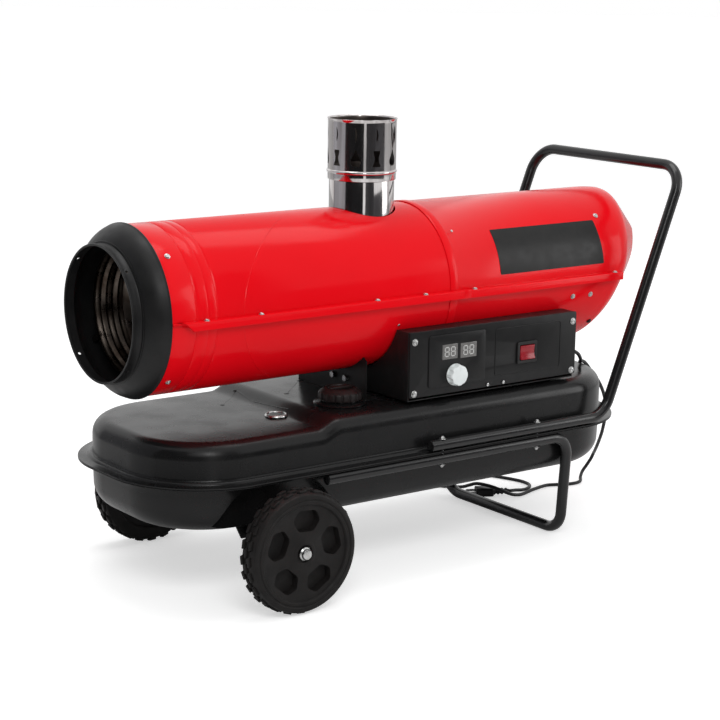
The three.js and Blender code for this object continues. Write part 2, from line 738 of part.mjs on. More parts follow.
function exchangerDrum() {
  const radius = 96;
  const rear = 150;
  const front = -420;
  const wall = 2.5;
  const outside = [[0, front], [40, front], [62, front + 8], [80, front + 22], [92, front + 44], [radius, front + 70]];
  const inside = [[0, front + wall], [39, front + wall], [60.5, front + 10.4], [77.8, front + 23.8],
    [89.6, front + 45], [radius - wall, front + 70.5]];
  const profile = [...outside, [radius, rear], [0, rear]];
  const drum = revolve('x', profile, 0, 0, AXIS_Z, 24);
  const spigot = rod('z', FLUE_X, 0, AXIS_Z + 60, FLUE_R - 1.5 - 2 * GAP, 85, 28);
  const room = revolve('x', [...inside, [radius - wall, rear + 1], [0, rear + 1]], 0, 0, AXIS_Z, 24);
  const bore = rod('z', FLUE_X, 0, AXIS_Z + 20, FLUE_R - 4, 140, 28);
  const feet = [];
  for (const x of [-330, 80]) {
    for (const angle of [90, 210, 330]) {
      feet.push(box(x, x + 20, -8, 8, radius - 2, BARREL_R - SHEET - 1.5).rotate([angle, 0, 0])
        .translate([0, 0, AXIS_Z]));
    }
  }
  return cut(join(drum, spigot, ...feet), room, bore);
}

part('exchanger_drum', exchangerDrum(), heatTinted);

// ---------------------------------------------------------------- flue

function fluePipe() {
  const bottom = AXIS_Z + 108;
  const top = COWL_BOTTOM_Z + 22;
  const pipe = revolve('z', ring(FLUE_R, FLUE_R - 1.5, bottom, top), FLUE_X, 0, 0, 36);
  return pipe;
}

// The outline of one flame shaped slot: bell below, narrow neck, drop above.
function flameSlot(middle, low) {
  const shape = new THREE.Shape();
  shape.moveTo(middle - 8, low);
  shape.quadraticCurveTo(middle - 9, low + 12, middle - 4, low + 17);
  shape.quadraticCurveTo(middle - 2, low + 21, middle - 4.5, low + 26);
  shape.quadraticCurveTo(middle, low + 34, middle + 4.5, low + 26);
  shape.quadraticCurveTo(middle + 2, low + 21, middle + 4, low + 17);
  shape.quadraticCurveTo(middle + 9, low + 12, middle + 8, low);
  shape.closePath();
  return shape;
}

function flueCowl() {
  const bottom = COWL_BOTTOM_Z;
  const top = FLUE_TOP_Z;
  const bead = 2;
  const outside = [
    [COWL_R, bottom], [COWL_R, bottom + 11], [COWL_R + bead, bottom + 14], [COWL_R, bottom + 17],
    [COWL_R, top - 3], [COWL_R + 1.5, top],
  ];
  const inside = [[FLUE_R + GAP, top], [FLUE_R + GAP, bottom]];
  const wall = revolve('z', [...outside, ...inside, outside[0]], FLUE_X, 0, 0, 33);
  const tools = [];
  for (let k = 0; k < COWL_SLOTS; k += 1) {
    const angle = (360 * k) / COWL_SLOTS - 12.7;
    const slot = extrude('y', flameSlot(0, bottom + 25), -COWL_R - 6, -COWL_R + 8, 1);
    const sliver = box(-1.6, 1.6, -COWL_R - 6, -COWL_R + 8, bottom + 68, bottom + 88);
    tools.push(slot.rotate([0, 0, angle]), sliver.rotate([0, 0, angle]));
  }
  return cut(wall, ...tools.map((tool) => tool.translate([FLUE_X, 0, 0])));
}

part('flue_pipe', fluePipe(), stainless);
part('flue_cowl', flueCowl(), stainless);

// ---------------------------------------------------------------- burner, motor and fan

function burnerHead() {
  const pipe = revolve('x', ring(46, 44, 20, 190), 0, 0, AXIS_Z, 20);
  const flange = revolve('x', ring(88, 45, 150 + GAP, 154), 0, 0, AXIS_Z, 20);
  const diffuser = revolve('x', ring(45, 16, 60, 62), 0, 0, AXIS_Z, 20);
  const vanes = [];
  for (let k = 0; k < 6; k += 1) {
    vanes.push(box(56, 60.5, -1.5, 1.5, 16, 44.5).rotate([60 * k, 0, 0]).translate([0, 0, AXIS_Z]));
  }
  return join(pipe, flange, diffuser, ...vanes);
}

function oilNozzle() {
  const pipe = rod('x', 74, 0, AXIS_Z, 5, 130, 16);
  const tip = rod('x', 66, 0, AXIS_Z, 3, 8, 16, 5);
  const holder = rod('x', 90, 0, AXIS_Z, 9, 20, 6);
  return join(pipe, tip, holder);
}

part('burner_head', burnerHead(), heatTinted);
part('oil_nozzle', oilNozzle(), brass);

function fanMotor() {
  const body = revolve('x', [
    [0, 232], [44, 232], [44, 298], [38, 302], [14, 304], [14, 310], [0, 310],
  ], 0, 0, AXIS_Z, 24);
  const shaft = rod('x', 309, 0, AXIS_Z, 5, 44, 16);
  const fins = [];
  for (let k = 0; k < 12; k += 1) {
    fins.push(box(240, 292, -1.2, 1.2, 43, 47).rotate([30 * k, 0, 0]).translate([0, 0, AXIS_Z]));
  }
  return join(body, shaft, ...fins);
}

function motorBracket() {
  const hub = revolve('x', ring(60, 47.6, 256, 262), 0, 0, AXIS_Z, 24);
  const arms = [];
  for (let k = 0; k < 3; k += 1) {
    const turn = [120 * k + 60, 0, 0];
    arms.push(box(256, 262, -9, 9, 58, 133).rotate(turn).translate([0, 0, AXIS_Z]));
    arms.push(box(246, 272, -9, 9, 131, 133.6).rotate(turn).translate([0, 0, AXIS_Z]));
  }
  return join(hub, ...arms);
}

function fuelPump() {
  const body = rod('x', 200, 0, AXIS_Z, 24, 22, 24);
  const cover = rod('x', 222, 0, AXIS_Z, 27, 10 - GAP, 24);
  const port = rod('z', 210, 0, AXIS_Z - 34, 5, 20, 12);
  return cut(join(body, cover, port), rod('x', 190, 0, AXIS_Z, 5 + GAP, 15, 16));
}

function fan() {
  const hub = revolve('x', [
    [5 + GAP, 318], [22, 318], [22, 340], [18, 344], [5 + GAP, 344], [5 + GAP, 318],
  ], 0, 0, AXIS_Z, 24);
  const blades = [];
  const count = 5;
  for (let k = 0; k < count; k += 1) {
    // A blade twists from a steep root to a flat tip.
    const blade = new THREE.BoxGeometry(2, 56, FAN_R - 20, 1, 2, 3);
    blade.translate(0, 0, (FAN_R + 20) / 2);
    const position = blade.attributes.position;
    for (let i = 0; i < position.count; i += 1) {
      const z = position.getZ(i);
      const reach = (z - 20) / (FAN_R - 20);
      const twist = THREE.MathUtils.degToRad(58 - 30 * reach);
      const y = position.getY(i) * (0.62 + 0.55 * reach);
      const x = position.getX(i);
      position.setX(i, x * Math.cos(twist) - y * Math.sin(Math.PI / 2 - twist) * 0.55);
      position.setY(i, x * Math.sin(twist) + y * Math.cos(Math.PI / 2 - twist));
    }
    blade.deleteAttribute('normal');
    blade.deleteAttribute('uv');
    const solid = toSolid(faceOut(mergeVertices(blade, 1e-4)));
    blades.push(solid.translate([FAN_X, 0, 0]).rotate([(360 * k) / count, 0, 0]).translate([0, 0, AXIS_Z]));
  }
  return join(hub, ...blades);
}

part('fan_motor', fanMotor(), motorGrey);
part('motor_bracket', motorBracket(), zinc);
part('fuel_pump', fuelPump(), aluminium);
part('fan', fan(), aluminium);

// Wire guard over the rear air intake: rings on radial spokes, leaning with the hood.
function intakeGuard() {
  const endAngle = (HOOD_END_ANGLE * Math.PI) / 180;
  const rim = BARREL_R - HOOD_DROP * (1 - Math.cos(endAngle)) - SHEET - 0.6;
  const x = SHOULDER_X + HOOD_LENGTH * Math.sin(endAngle) - 2.4;
  const wires = [];
  for (const radius of [rim - 1.2, 56, 34, 12]) {
    wires.push(revolve('x', ring(radius + 1.2, radius - 1.2, x - 1.2, x + 1.2), 0, 0, 0, 18));
  }
  for (let k = 0; k < 6; k += 1) {
    wires.push(box(x - 3, x - 0.6, -1.2, 1.2, 11.5, rim - 2).rotate([60 * k, 0, 0]));
  }
  const flat = toGeometry(join(...wires));
  const position = flat.attributes.position;
  for (let i = 0; i < position.count; i += 1) {
    const z = position.getZ(i);
    position.setX(i, position.getX(i) + lean(z) * z);
    position.setZ(i, z + AXIS_Z);
  }
  return toSolid(flat);
}

part('intake_guard', intakeGuard(), satinBlack);

// ---------------------------------------------------------------- saddles and control box

const SADDLE_X = -93;
const SADDLE_BOLTS = [-7, -43];
const SADDLE_BOLT_Z = 314;

function frontSaddle() {
  const x0 = SADDLE_X;
  const top = AXIS_Z - BARREL_R - GAP;
  const plate = polygon([[-98, PLATEAU_Z + GAP], [98, PLATEAU_Z + GAP], [98, 352], [84, 360], [-84, 360], [-98, 352]]);
  const upright = extrude('x', plate, x0, x0 + 2);
  const foot = box(x0, x0 + 26, -98, 98, PLATEAU_Z + GAP, PLATEAU_Z + 2.3);
  const shelf = box(x0, x0 + 26, -40, 40, top - 2, top - 0.2);
  const barrelRoom = rod('x', x0 - 30, 0, AXIS_Z, BARREL_R + GAP, 90, 40);
  const boltHoles = SADDLE_BOLTS.map((y) => rod('x', x0 - 10, y, SADDLE_BOLT_Z, 3.5, 30, 8));
  return cut(join(upright, foot, cut(shelf, barrelRoom)), barrelRoom, ...boltHoles);
}

part('front_saddle', frontSaddle(), blackPaint);

function saddleBolt(y) {
  const x0 = SADDLE_X;
  return join(rod('x', x0 - 5 - GAP, y, SADDLE_BOLT_Z, 5.5, 5, 6),
    rod('x', x0 - 2, y, SADDLE_BOLT_Z, 3, 12, 8), rod('x', x0 + 2 + GAP, y, SADDLE_BOLT_Z, 5.5, 4.5, 6));
}

part('saddle_bolt_1', saddleBolt(SADDLE_BOLTS[0]), zinc);
part('saddle_bolt_2', saddleBolt(SADDLE_BOLTS[1]), zinc);

const PANEL_Y = BOX_Y[0];
const KNOB = { x: 42, z: 327, y: PANEL_Y };
const ROCKER = { x: 201, z: 347 };

// Folded tray under the rear of the barrel, cut out on top where the barrel lies in it.
function controlTray() {
  const outer = box(BOX_X[0], BOX_X[1], BOX_Y[0] + 2.4, BOX_Y[1], BOX_Z[0], BOX_Z[1] + 4);
  const inner = box(BOX_X[0] + 2, BOX_X[1] - 2, BOX_Y[0] + 2.4 - 5, BOX_Y[1] - 2, BOX_Z[0] + 2, BOX_Z[1] + 2);
  const barrelRoom = rod('x', BOX_X[0] - 30, 0, AXIS_Z, BARREL_R + 2.6, 450, 40);
  const glandHole = rod('x', BOX_X[1] - 10, GLAND.y, GLAND.z, 8 + GAP, 20, 20);
  const pickupHole = rod('z', PICKUP.x, PICKUP.y, BOX_Z[0] - 5, PICKUP.radius + GAP, 20, 12);
  const feet = [];
  for (const x of [BOX_X[0] + 10, BOX_X[1] - 40]) {
    for (const y of [-120, 90]) {
      feet.push(box(x, x + 30, y, y + 30, PLATEAU_Z + GAP, BOX_Z[0] + 1));
    }
  }
  return join(cut(outer, inner, barrelRoom, glandHole, pickupHole), ...feet);
}

function frontPanel() {
  const y0 = PANEL_Y;
  const sheet = extrude('y', roundedRect(BOX_X[0], BOX_X[1] - 1, BOX_Z[0] + 6, BOX_Z[1], 5), y0, y0 + 2, 3);
  const holes = [
    box(14, 47, y0 - 5, y0 + 6, 354, 380), box(53, 88, y0 - 5, y0 + 6, 353, 379),
    rod('y', KNOB.x, y0 - 10, KNOB.z, 5.5, 20, 12),
    box(ROCKER.x - 19, ROCKER.x + 19, y0 - 5, y0 + 6, ROCKER.z - 16, ROCKER.z + 16),
  ];
  const raised = extrude('y', roundedRect(-14, 108, 309, 397, 6), y0 - 1.6, y0 + 0.5, 3);
  return cut(join(sheet, raised), ...holes);
}

part('control_tray', controlTray(), blackPaint);
part('front_panel', frontPanel(), satinBlack);

function display(x0, x1, z0, z1) {
  const y0 = PANEL_Y;
  return join(box(x0 + GAP, x1 - GAP, y0 - 2.2, y0 + 3, z0 + GAP, z1 - GAP),
    box(x0 - 3, x1 + 3, y0 + 2 + GAP, y0 + 5, z0 - 3, z1 + 3));
}

part('display_left', display(14, 47, 354, 380), displayGrey);
part('display_right', display(53, 88, 353, 379), displayGrey);

function thermostatKnob() {
  const y0 = PANEL_Y - 1.6 - GAP;
  const body = revolve('y', [
    [0, y0 - 21], [15, y0 - 21], [17, y0 - 19], [18, y0 - 3], [20, y0], [0, y0],
  ], KNOB.x, 0, KNOB.z, 32);
  const shaft = rod('y', KNOB.x, y0 - 1, KNOB.z, 5, 14, 16);
  const scallops = [];
  for (let k = 0; k < 8; k += 1) {
    const angle = (Math.PI * (k + 0.5)) / 4;
    scallops.push(rod('y', KNOB.x + 22.5 * Math.cos(angle), y0 - 24, KNOB.z + 22.5 * Math.sin(angle), 6.5, 21, 10));
  }
  const pointer = box(KNOB.x - 1, KNOB.x + 1, y0 - 23, y0 - 20.2, KNOB.z + 4, KNOB.z + 15);
  return cut(join(body, shaft), ...scallops, pointer);
}

part('thermostat_knob', thermostatKnob(), plasticGrey);

function switchBezel() {
  const y0 = PANEL_Y;
  const x = ROCKER.x;
  const z = ROCKER.z;
  const rim = extrude('y', roundedRect(x - 22, x + 22, z - 19, z + 19, 3), y0 - 2.4, y0 - GAP, 3);
  const sleeve = box(x - 18.6, x + 18.6, y0 - 1, y0 + 22, z - 15.6, z + 15.6);
  const room = box(x - 16.4, x + 16.4, y0 - 6, y0 + 14, z - 13.4, z + 13.4);
  return cut(join(rim, sleeve), room);
}

// A rocker with two slopes that meet over its pivot.
function switchRocker() {
  const y0 = PANEL_Y;
  const side = polygon([[y0 - 6.5, -12], [y0 - 3.2, 0], [y0 - 4.5, 12], [y0 + 1, 12.4], [y0 + 8, 3], [y0 + 8, -3], [y0 + 1, -12.4]]);
  return extrude('x', side, ROCKER.x - 15.8, ROCKER.x + 15.8).translate([0, 0, ROCKER.z]);
}

part('switch_bezel', switchBezel(), plasticBlack);
part('switch_rocker', switchRocker(), switchRed);

function controlBoard() {
  const board = box(-30, 130, -120, -118, 298, 322);
  const chips = [box(-20, 10, -118.5, -110, 300, 318), box(30, 60, -118.5, -104, 300, 316),
    box(90, 120, -118.5, -106, 301, 320)];
  return join(board, ...chips);
}

part('control_board', controlBoard(), boardGreen);
part('ignition_transformer', box(170, 240, -135, -85, BOX_Z[0] + 2 + GAP, 326), motorGrey);

function fuelFilter() {
  const y = 95;
  const bowl = rod('z', PICKUP.x, y, BOX_Z[0] + 8, 14, 20, 16);
  const head = rod('z', PICKUP.x, y, BOX_Z[0] + 27, 16, 8, 16);
  const spout = rod('x', PICKUP.x + 10, y, BOX_Z[0] + 30, 3.5, 14, 12);
  return join(bowl, head, spout);
}

function pickupPipe() {
  const floor = BOX_Z[0] + 2 + GAP;
  const pipe = rod('z', PICKUP.x, PICKUP.y, TANK_BOTTOM_Z + 12, PICKUP.radius, floor - TANK_BOTTOM_Z - 10, 12);
  const collar = rod('z', PICKUP.x, PICKUP.y, floor, 10, BOX_Z[0] + 8 - GAP - floor, 16);
  return join(pipe, collar);
}

function fuelHose() {
  const z = BOX_Z[0] + 30;
  const corners = [v3(PICKUP.x + 24 + GAP, PICKUP.y, z), v3(150, PICKUP.y, 314), v3(210, 40, 309),
    v3(210, 0, 309), v3(210, 0, AXIS_Z - 34 - GAP)];
  return tube(bentStations(corners, 11, 3), 3.5, 8);
}

part('fuel_filter', fuelFilter(), brass);
part('pickup_pipe', pickupPipe(), brass);
part('fuel_hose', fuelHose(), plasticBlack);

// ---------------------------------------------------------------- mains cord

function cordGland() {
  const outside = revolve('x', [
    [CORD_R + GAP, -6], [7.8, -6], [7.8, 0.5], [11, 0.5], [11, 6], [8, 8], [5, 34], [CORD_R + GAP, 34],
    [CORD_R + GAP, -6],
  ], GLAND.x - 0.2 + GAP, GLAND.y, GLAND.z, 12);
  const nut = revolve('x', ring(11, 8, -7, -2.6), GLAND.x - 0.2, GLAND.y, GLAND.z, 6);
  return join(outside, cut(nut, rod('x', GLAND.x - 20, GLAND.y, GLAND.z, 7.6, 40, 12)));
}

part('cord_gland', cordGland(), plasticBlack);

const CORD_START = GLAND.x + 34 + 2 * GAP;

// The lead leaves the gland, hangs behind the tank, turns back on the floor in a hook, runs under the
// tank, rises over the plug and lies down beside the coil.
const leadPoints = [
  [CORD_START, -108, 322], [363.2, -107.8, 320], [378, -104.8, 312.6], [395.9, -93.3, 296.8],
  [404.4, -82.1, 290.6], [415, -71.4, 289.2], [430.5, -64.4, 285.4], [442.4, -61.9, 276.3],
  [452.6, -60.9, 264.9], [478.8, -56.2, 239.3], [506.4, -44.3, 204.5], [525.1, -28.7, 165.7],
  [540.8, -6.7, 128.5], [559.8, 21.7, 97.8], [581.9, 52.7, 72.2], [607.2, 84.7, 52.4],
  [608.3, 92.6, 39.7], [602.8, 97.6, 26.7], [591.9, 98, 15.1], [580.8, 91, 6.7], [570.4, 79.9, 3.6],
  [556.5, 72.7, 3.6], [540.6, 72.7, 3.5], [522.5, 79, 3.5], [493.5, 90.6, 3.6], [476.2, 89.5, 3.5],
  [446.1, 81.4, 3.9], [402.2, 68.3, 4.2], [381.2, 69.9, 8.4], [365.3, 79.5, 16.4], [351.4, 99.6, 22.3],
  [342.4, 125.9, 21.9], [338.8, 141.8, 15.8], [335.7, 159.1, 8.8], [324, 191.8, 3.6],
  [308.2, 211, 3.6], [273.2, 240.9, 3.5], [261.7, 265, 3.5], [260.7, 280, 3.5],
];

// The far end leaves the coil and turns back to the plug.
const tailPoints = [
  [300, 319.3, 3.5], [322, 319, 3.5], [345, 314, 3.5], [369, 302, 3.5], [392, 284, 3.5], [412, 262, 3.5],
  [430, 236, 3.5], [445, 208, 3.5], [457, 180, 3.5], [467, 152, 3.5], [470, 133, 3.5], [467, 115, 3.5],
  [456, 101, 3.5], [441, 93, 3.7], [427, 89.6, 4.8], [410, 87.8, 7.4], [394.6, 87.5, 8.7],
];

const coilHeight = 4 * CORD_R + 0.6;
const coilSolid = revolve('z', ring(COIL_MID_R + 2 * CORD_R, COIL_MID_R - 2 * CORD_R, 0.1, coilHeight),
  COIL_X, COIL_Y, 0, 32);
const coilRoom = revolve('z', ring(COIL_MID_R + 2 * CORD_R + GAP, COIL_MID_R - 2 * CORD_R - GAP, -5, coilHeight + 5),
  COIL_X, COIL_Y, 0, 32);

// A free run of the cord, up to the coil.
function lying(points, sections) {
  const stations = smoothStations(points.map((point) => v3(...point)), sections);
  return cut(tube(stations, CORD_R, 8), coilRoom);
}

part('power_cord', lying(leadPoints, 54), plasticBlack);
part('power_cord_coil', coilSolid, plasticBlack);
part('power_cord_tail', lying(tailPoints, 19), plasticBlack);

// The plug lies on its side, its ribbed strain relief towards the cord.
function plug() {
  const profile = [[0, 0], [4.4, 0]];
  for (let k = 0; k < 4; k += 1) {
    const along = 4 + 7.4 * k;
    const radius = 4.4 + 0.25 * k;
    profile.push([radius, along], [radius + 1.8, along], [radius + 1.8, along + 4], [radius, along + 4]);
  }
  profile.push([5.6, 34], [0, 34]);
  const relief = revolve('y', profile, 0, 0, 0, 12);
  const body = extrude('y', roundedRect(-13, 13, -8.5, 8.5, 5), 32, 64, 4);
  const pins = [-9.5, 9.5].map((x) => rod('y', x, 63, 0, 2.4, 19, 10));
  return join(relief, body, ...pins).rotate([0, 0, 60]).translate([392, 88, 8.7]);
}

part('mains_plug', plug(), plasticBlack);

export default heater;
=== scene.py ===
import math
import bpy
import bmesh
from mathutils import Matrix, Vector


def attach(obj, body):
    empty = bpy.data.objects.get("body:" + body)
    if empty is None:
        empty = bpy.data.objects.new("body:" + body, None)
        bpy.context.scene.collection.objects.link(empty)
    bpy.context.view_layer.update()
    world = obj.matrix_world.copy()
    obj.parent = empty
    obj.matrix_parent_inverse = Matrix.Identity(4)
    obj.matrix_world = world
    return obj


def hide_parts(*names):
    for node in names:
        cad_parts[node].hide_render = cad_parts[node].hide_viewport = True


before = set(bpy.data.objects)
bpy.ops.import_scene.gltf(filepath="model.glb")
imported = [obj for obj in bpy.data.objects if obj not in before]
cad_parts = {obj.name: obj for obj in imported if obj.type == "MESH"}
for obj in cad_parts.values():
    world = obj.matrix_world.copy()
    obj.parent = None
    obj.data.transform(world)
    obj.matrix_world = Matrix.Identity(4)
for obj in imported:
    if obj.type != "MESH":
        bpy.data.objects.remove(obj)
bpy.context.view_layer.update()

# Sizes are written in millimetres, as on the heater's drawing, and turned to metres by mm().
MM = 0.001
AXLE = (-319, 0, 100)
AXIS_Z = 461
BARREL_R = 136.5
SHEET = 1.5
SHELL_FRONT = -491.4
FLUE_X = -35.5
ALONG_X = (0, math.pi / 2, 0)
ALONG_Y = (math.pi / 2, 0, 0)


def mm(*values):
    return tuple(v * MM for v in values)


def spot(x, y, z):
    return Vector(mm(x, y, z))


# ---------------------------------------------------------------- camera

def set_camera():
    """The photograph's viewpoint: 3.3 m away, a little above the barrel, with a 97 mm lens."""
    azimuth, elevation, roll = (math.radians(a) for a in (-36.636, 12.119, 0.875))
    back = Vector((math.sin(azimuth) * math.cos(elevation),
                   -math.cos(azimuth) * math.cos(elevation), math.sin(elevation)))
    right = Vector((math.cos(azimuth), math.sin(azimuth), 0))
    up = back.cross(right)
    turned_right = math.cos(roll) * right + math.sin(roll) * up
    turned_up = -math.sin(roll) * right + math.cos(roll) * up
    bpy.ops.object.camera_add()
    camera = bpy.context.object
    camera.name = "photo_camera"
    place = Matrix((turned_right, turned_up, back)).transposed().to_4x4()
    place.translation = spot(-33, 0, 329.95) + back * 3.33366
    camera.matrix_world = place
    camera.data.sensor_width = 36
    camera.data.lens = 97.108
    camera.data.clip_end = 30
    bpy.context.scene.camera = camera


set_camera()


# ---------------------------------------------------------------- working by hand

def put_down():
    """Leaves edit mode and deselects everything."""
    if bpy.context.object and bpy.context.object.mode != "OBJECT":
        bpy.ops.object.mode_set(mode="OBJECT")
    bpy.ops.object.select_all(action="DESELECT")


def take(piece):
    """Makes one piece the only one selected, and the active one."""
    put_down()
    piece.select_set(True)
    bpy.context.view_layer.objects.active = piece


def into_edit(piece):
    take(piece)
    bpy.ops.object.mode_set(mode="EDIT")
    bpy.ops.mesh.select_mode(type="FACE")


def inset_faces(piece, wanted, *steps):
    """Insets the faces whose centre and normal the test accepts, by widths and heights in millimetres."""
    into_edit(piece)
    bpy.ops.mesh.select_all(action="DESELECT")
    shape = bmesh.from_edit_mesh(piece.data)
    for face in shape.faces:
        face.select_set(bool(wanted(face.calc_center_median() / MM, face.normal)))
    shape.select_flush_mode()
    bmesh.update_edit_mesh(piece.data)
    for width, height in steps:
        bpy.ops.mesh.inset(thickness=width * MM, depth=height * MM)
    put_down()


def bisect(piece, places, normal, **cut):
    """Cuts through the mesh at each place. The rest says which side goes and whether the cut is closed."""
    into_edit(piece)
    for place in places:
        bpy.ops.mesh.select_all(action="SELECT")
        bpy.ops.mesh.bisect(plane_co=spot(*place), plane_no=normal, **cut)
    put_down()


def outward(piece):
    """Closes doubled points and turns all faces outwards."""
    into_edit(piece)
    bpy.ops.mesh.select_all(action="SELECT")
    bpy.ops.mesh.remove_doubles(threshold=0.00002)
    bpy.ops.mesh.normals_make_consistent(inside=False)
    put_down()


def soften(piece, width, segments=2, angle=38):
    """Rounds the sharp edges, so that they catch the light."""
    take(piece)
    bpy.ops.object.modifier_add(type="BEVEL")
    edge = piece.modifiers[-1]
    edge.width = width * MM
    edge.segments = segments
    edge.limit_method = "ANGLE"
    edge.angle_limit = math.radians(angle)
    bpy.ops.object.modifier_apply(modifier=edge.name)


def settle(piece, material, body="chassis", stands_for=(), angle=35):
    """Finishes a piece: its place goes into its mesh, and it gets its material and its body."""
    take(piece)
    bpy.ops.object.transform_apply(location=True, rotation=True, scale=True)
    piece.data.materials.clear()
    piece.data.materials.append(material)
    bpy.ops.object.shade_smooth_by_angle(angle=math.radians(angle))
    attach(piece, body)
    if stands_for:
        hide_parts(*stands_for)
    put_down()
    return piece


def start_point(name, place):
    """A plane shrunk to one point, from which a line is drawn."""
    put_down()
    bpy.ops.mesh.primitive_plane_add(size=0.001, location=(0, 0, 0))
    piece = bpy.context.object
    piece.name = name
    piece.data.name = name
    bpy.ops.object.mode_set(mode="EDIT")
    bpy.ops.mesh.select_mode(type="VERT")
    bpy.ops.mesh.select_all(action="SELECT")
    bpy.ops.mesh.merge(type="CENTER")
    bpy.ops.transform.translate(value=place)
    return piece


def draw_line(points):
    """Pulls the selected point from place to place."""
    for before, after in zip(points, points[1:]):
        bpy.ops.mesh.extrude_region_move(
            TRANSFORM_OT_translate={"value": tuple(b - a for a, b in zip(before, after))})


def turned(name, profile, axis, centre=(0, 0, 0), steps=96):
    """A profile of radius and distance along the axis, drawn point by point and spun round it."""
    along = {"x": Vector((1, 0, 0)), "y": Vector((0, 1, 0)), "z": Vector((0, 0, 1))}[axis]
    out = {"x": Vector((0, -1, 0)), "y": Vector((1, 0, 0)), "z": Vector((0, -1, 0))}[axis]
    middle = spot(*centre)
    points = [middle + out * radius * MM + along * distance * MM for radius, distance in profile]
    piece = start_point(name, points[0])
    draw_line(points)
    bpy.ops.mesh.select_all(action="SELECT")
    bpy.ops.mesh.spin(steps=steps, angle=2 * math.pi, center=middle, axis=along)
    outward(piece)
    return piece


def pressed_sheet(name, outline, axis, start, end):
    """An outline filled with a face and pulled out along an axis."""
    order = {"x": lambda u, v: (start, u, v), "y": lambda u, v: (u, start, v),
             "z": lambda u, v: (u, v, start)}[axis]
    points = [spot(*order(u, v)) for u, v in outline]
    piece = start_point(name, points[0])
    draw_line(points)
    bpy.ops.mesh.select_all(action="SELECT")
    bpy.ops.mesh.edge_face_add()
    depth = (end - start) * MM
    pull = {"x": (depth, 0, 0), "y": (0, depth, 0), "z": (0, 0, depth)}[axis]
    bpy.ops.mesh.extrude_region_move(TRANSFORM_OT_translate={"value": pull})
    outward(piece)
    return piece


def block(name, low, high):
    """A box between two corners."""
    put_down()
    centre = [(a + b) / 2 for a, b in zip(low, high)]
    bpy.ops.mesh.primitive_cube_add(size=1, location=mm(*centre))
    piece = bpy.context.object
    piece.name = name
    piece.data.name = name
    piece.scale = mm(*[b - a for a, b in zip(low, high)])
    bpy.ops.object.transform_apply(location=True, rotation=True, scale=True)
    return piece


def rod(radius, depth, place, turn=(0, 0, 0), sides=32):
    """A plain cylinder along its own Z axis, turned and put in its place."""
    put_down()
    bpy.ops.mesh.primitive_cylinder_add(vertices=sides, radius=radius * MM, depth=depth * MM, location=place,
                                        rotation=turn)
    return bpy.context.object


def rounded_outline(u0, u1, v0, v1, radius, steps=6):
    """The corners of a rounded rectangle, walked round once."""
    corners = ((u1 - radius, v0 + radius, -90), (u1 - radius, v1 - radius, 0),
               (u0 + radius, v1 - radius, 90), (u0 + radius, v0 + radius, 180))
    outline = []
    for cu, cv, first in corners:
        for k in range(steps + 1):
            angle = math.radians(first + 90 * k / steps)
            outline.append((cu + radius * math.cos(angle), cv + radius * math.sin(angle)))
    return outline


def soft_corner(first, corner, last, steps):
    """Points of a bend from the first place to the last that is drawn towards the corner."""
    shares = [k / steps for k in range(steps + 1)]
    return [first * (1 - t) ** 2 + corner * 2 * t * (1 - t) + last * t * t for t in shares]


def bent_run(corners, radius, steps=12):
    """Straight runs of tube joined by bends of one radius."""
    points = [Vector(corners[0])]
    for before, corner, after in zip(corners, corners[1:], corners[2:]):
        corner = Vector(corner)
        back = (Vector(before) - corner).normalized()
        ahead = (Vector(after) - corner).normalized()
        half = back.angle(ahead) / 2
        centre = corner + (back + ahead).normalized() * (radius / math.sin(half))
        arm = corner + back * (radius / math.tan(half)) - centre
        axis = (back.cross(ahead) * -1).normalized()
        for k in range(steps + 1):
            points.append(centre + Matrix.Rotation((math.pi - 2 * half) * k / steps, 3, axis) @ arm)
    points.append(Vector(corners[-1]))
    return points


def round_curve(name, points, radius, rings):
    """A line drawn through the points in millimetres, turned into a round curve with closed ends."""
    places = [spot(*p) for p in points]
    piece = start_point(name, places[0])
    draw_line(places)
    take(piece)
    bpy.ops.object.convert(target="CURVE")
    line = bpy.context.object
    line.name = name
    line.data.bevel_depth = radius * MM
    line.data.bevel_resolution = rings
    line.data.use_fill_caps = True
    return line


def tube(name, points, radius, rings):
    """A round curve turned into a mesh."""
    round_curve(name, points, radius, rings)
    bpy.ops.object.convert(target="MESH")
    piece = bpy.context.object
    piece.name = name
    outward(piece)
    return piece


def cut_away(piece, cutters):
    """Each cutter takes its shape out of the piece and goes."""
    for cutter in cutters:
        take(piece)
        bpy.ops.object.modifier_add(type="BOOLEAN")
        tool = piece.modifiers[-1]
        tool.operation = "DIFFERENCE"
        tool.solver = "EXACT"
        tool.object = cutter
        bpy.ops.object.modifier_apply(modifier=tool.name)
    for cutter in cutters:
        bpy.data.objects.remove(cutter, do_unlink=True)


def copy_turned(piece, name, angle, axis, centre):
    """A copy with its own mesh, turned round an axis through a point in millimetres."""
    twin = piece.copy()
    twin.data = piece.data.copy()
    twin.name = name
    bpy.context.scene.collection.objects.link(twin)
    middle = Matrix.Translation(spot(*centre))
    turn = middle @ Matrix.Rotation(math.radians(angle), 4, axis) @ middle.inverted()
    twin.data.transform(turn)
    return twin


def copies_round(piece, angles, axis, centre):
    """Turned copies of a piece, which itself goes."""
    twins = [copy_turned(piece, piece.name + "_turned", angle, axis, centre) for angle in angles]
    bpy.data.objects.remove(piece, do_unlink=True)
    return twins


def together(name, pieces):
    """Joins pieces into one."""
    put_down()
    for piece in pieces:
        piece.select_set(True)
    bpy.context.view_layer.objects.active = pieces[0]
    if len(pieces) > 1:
        bpy.ops.object.join()
    joined = bpy.context.object
    joined.name = name
    joined.data.name = name
    return joined


def side_name(side):
    """The panel's side, towards -Y, is the near one."""
    return "near" if side < 0 else "far"


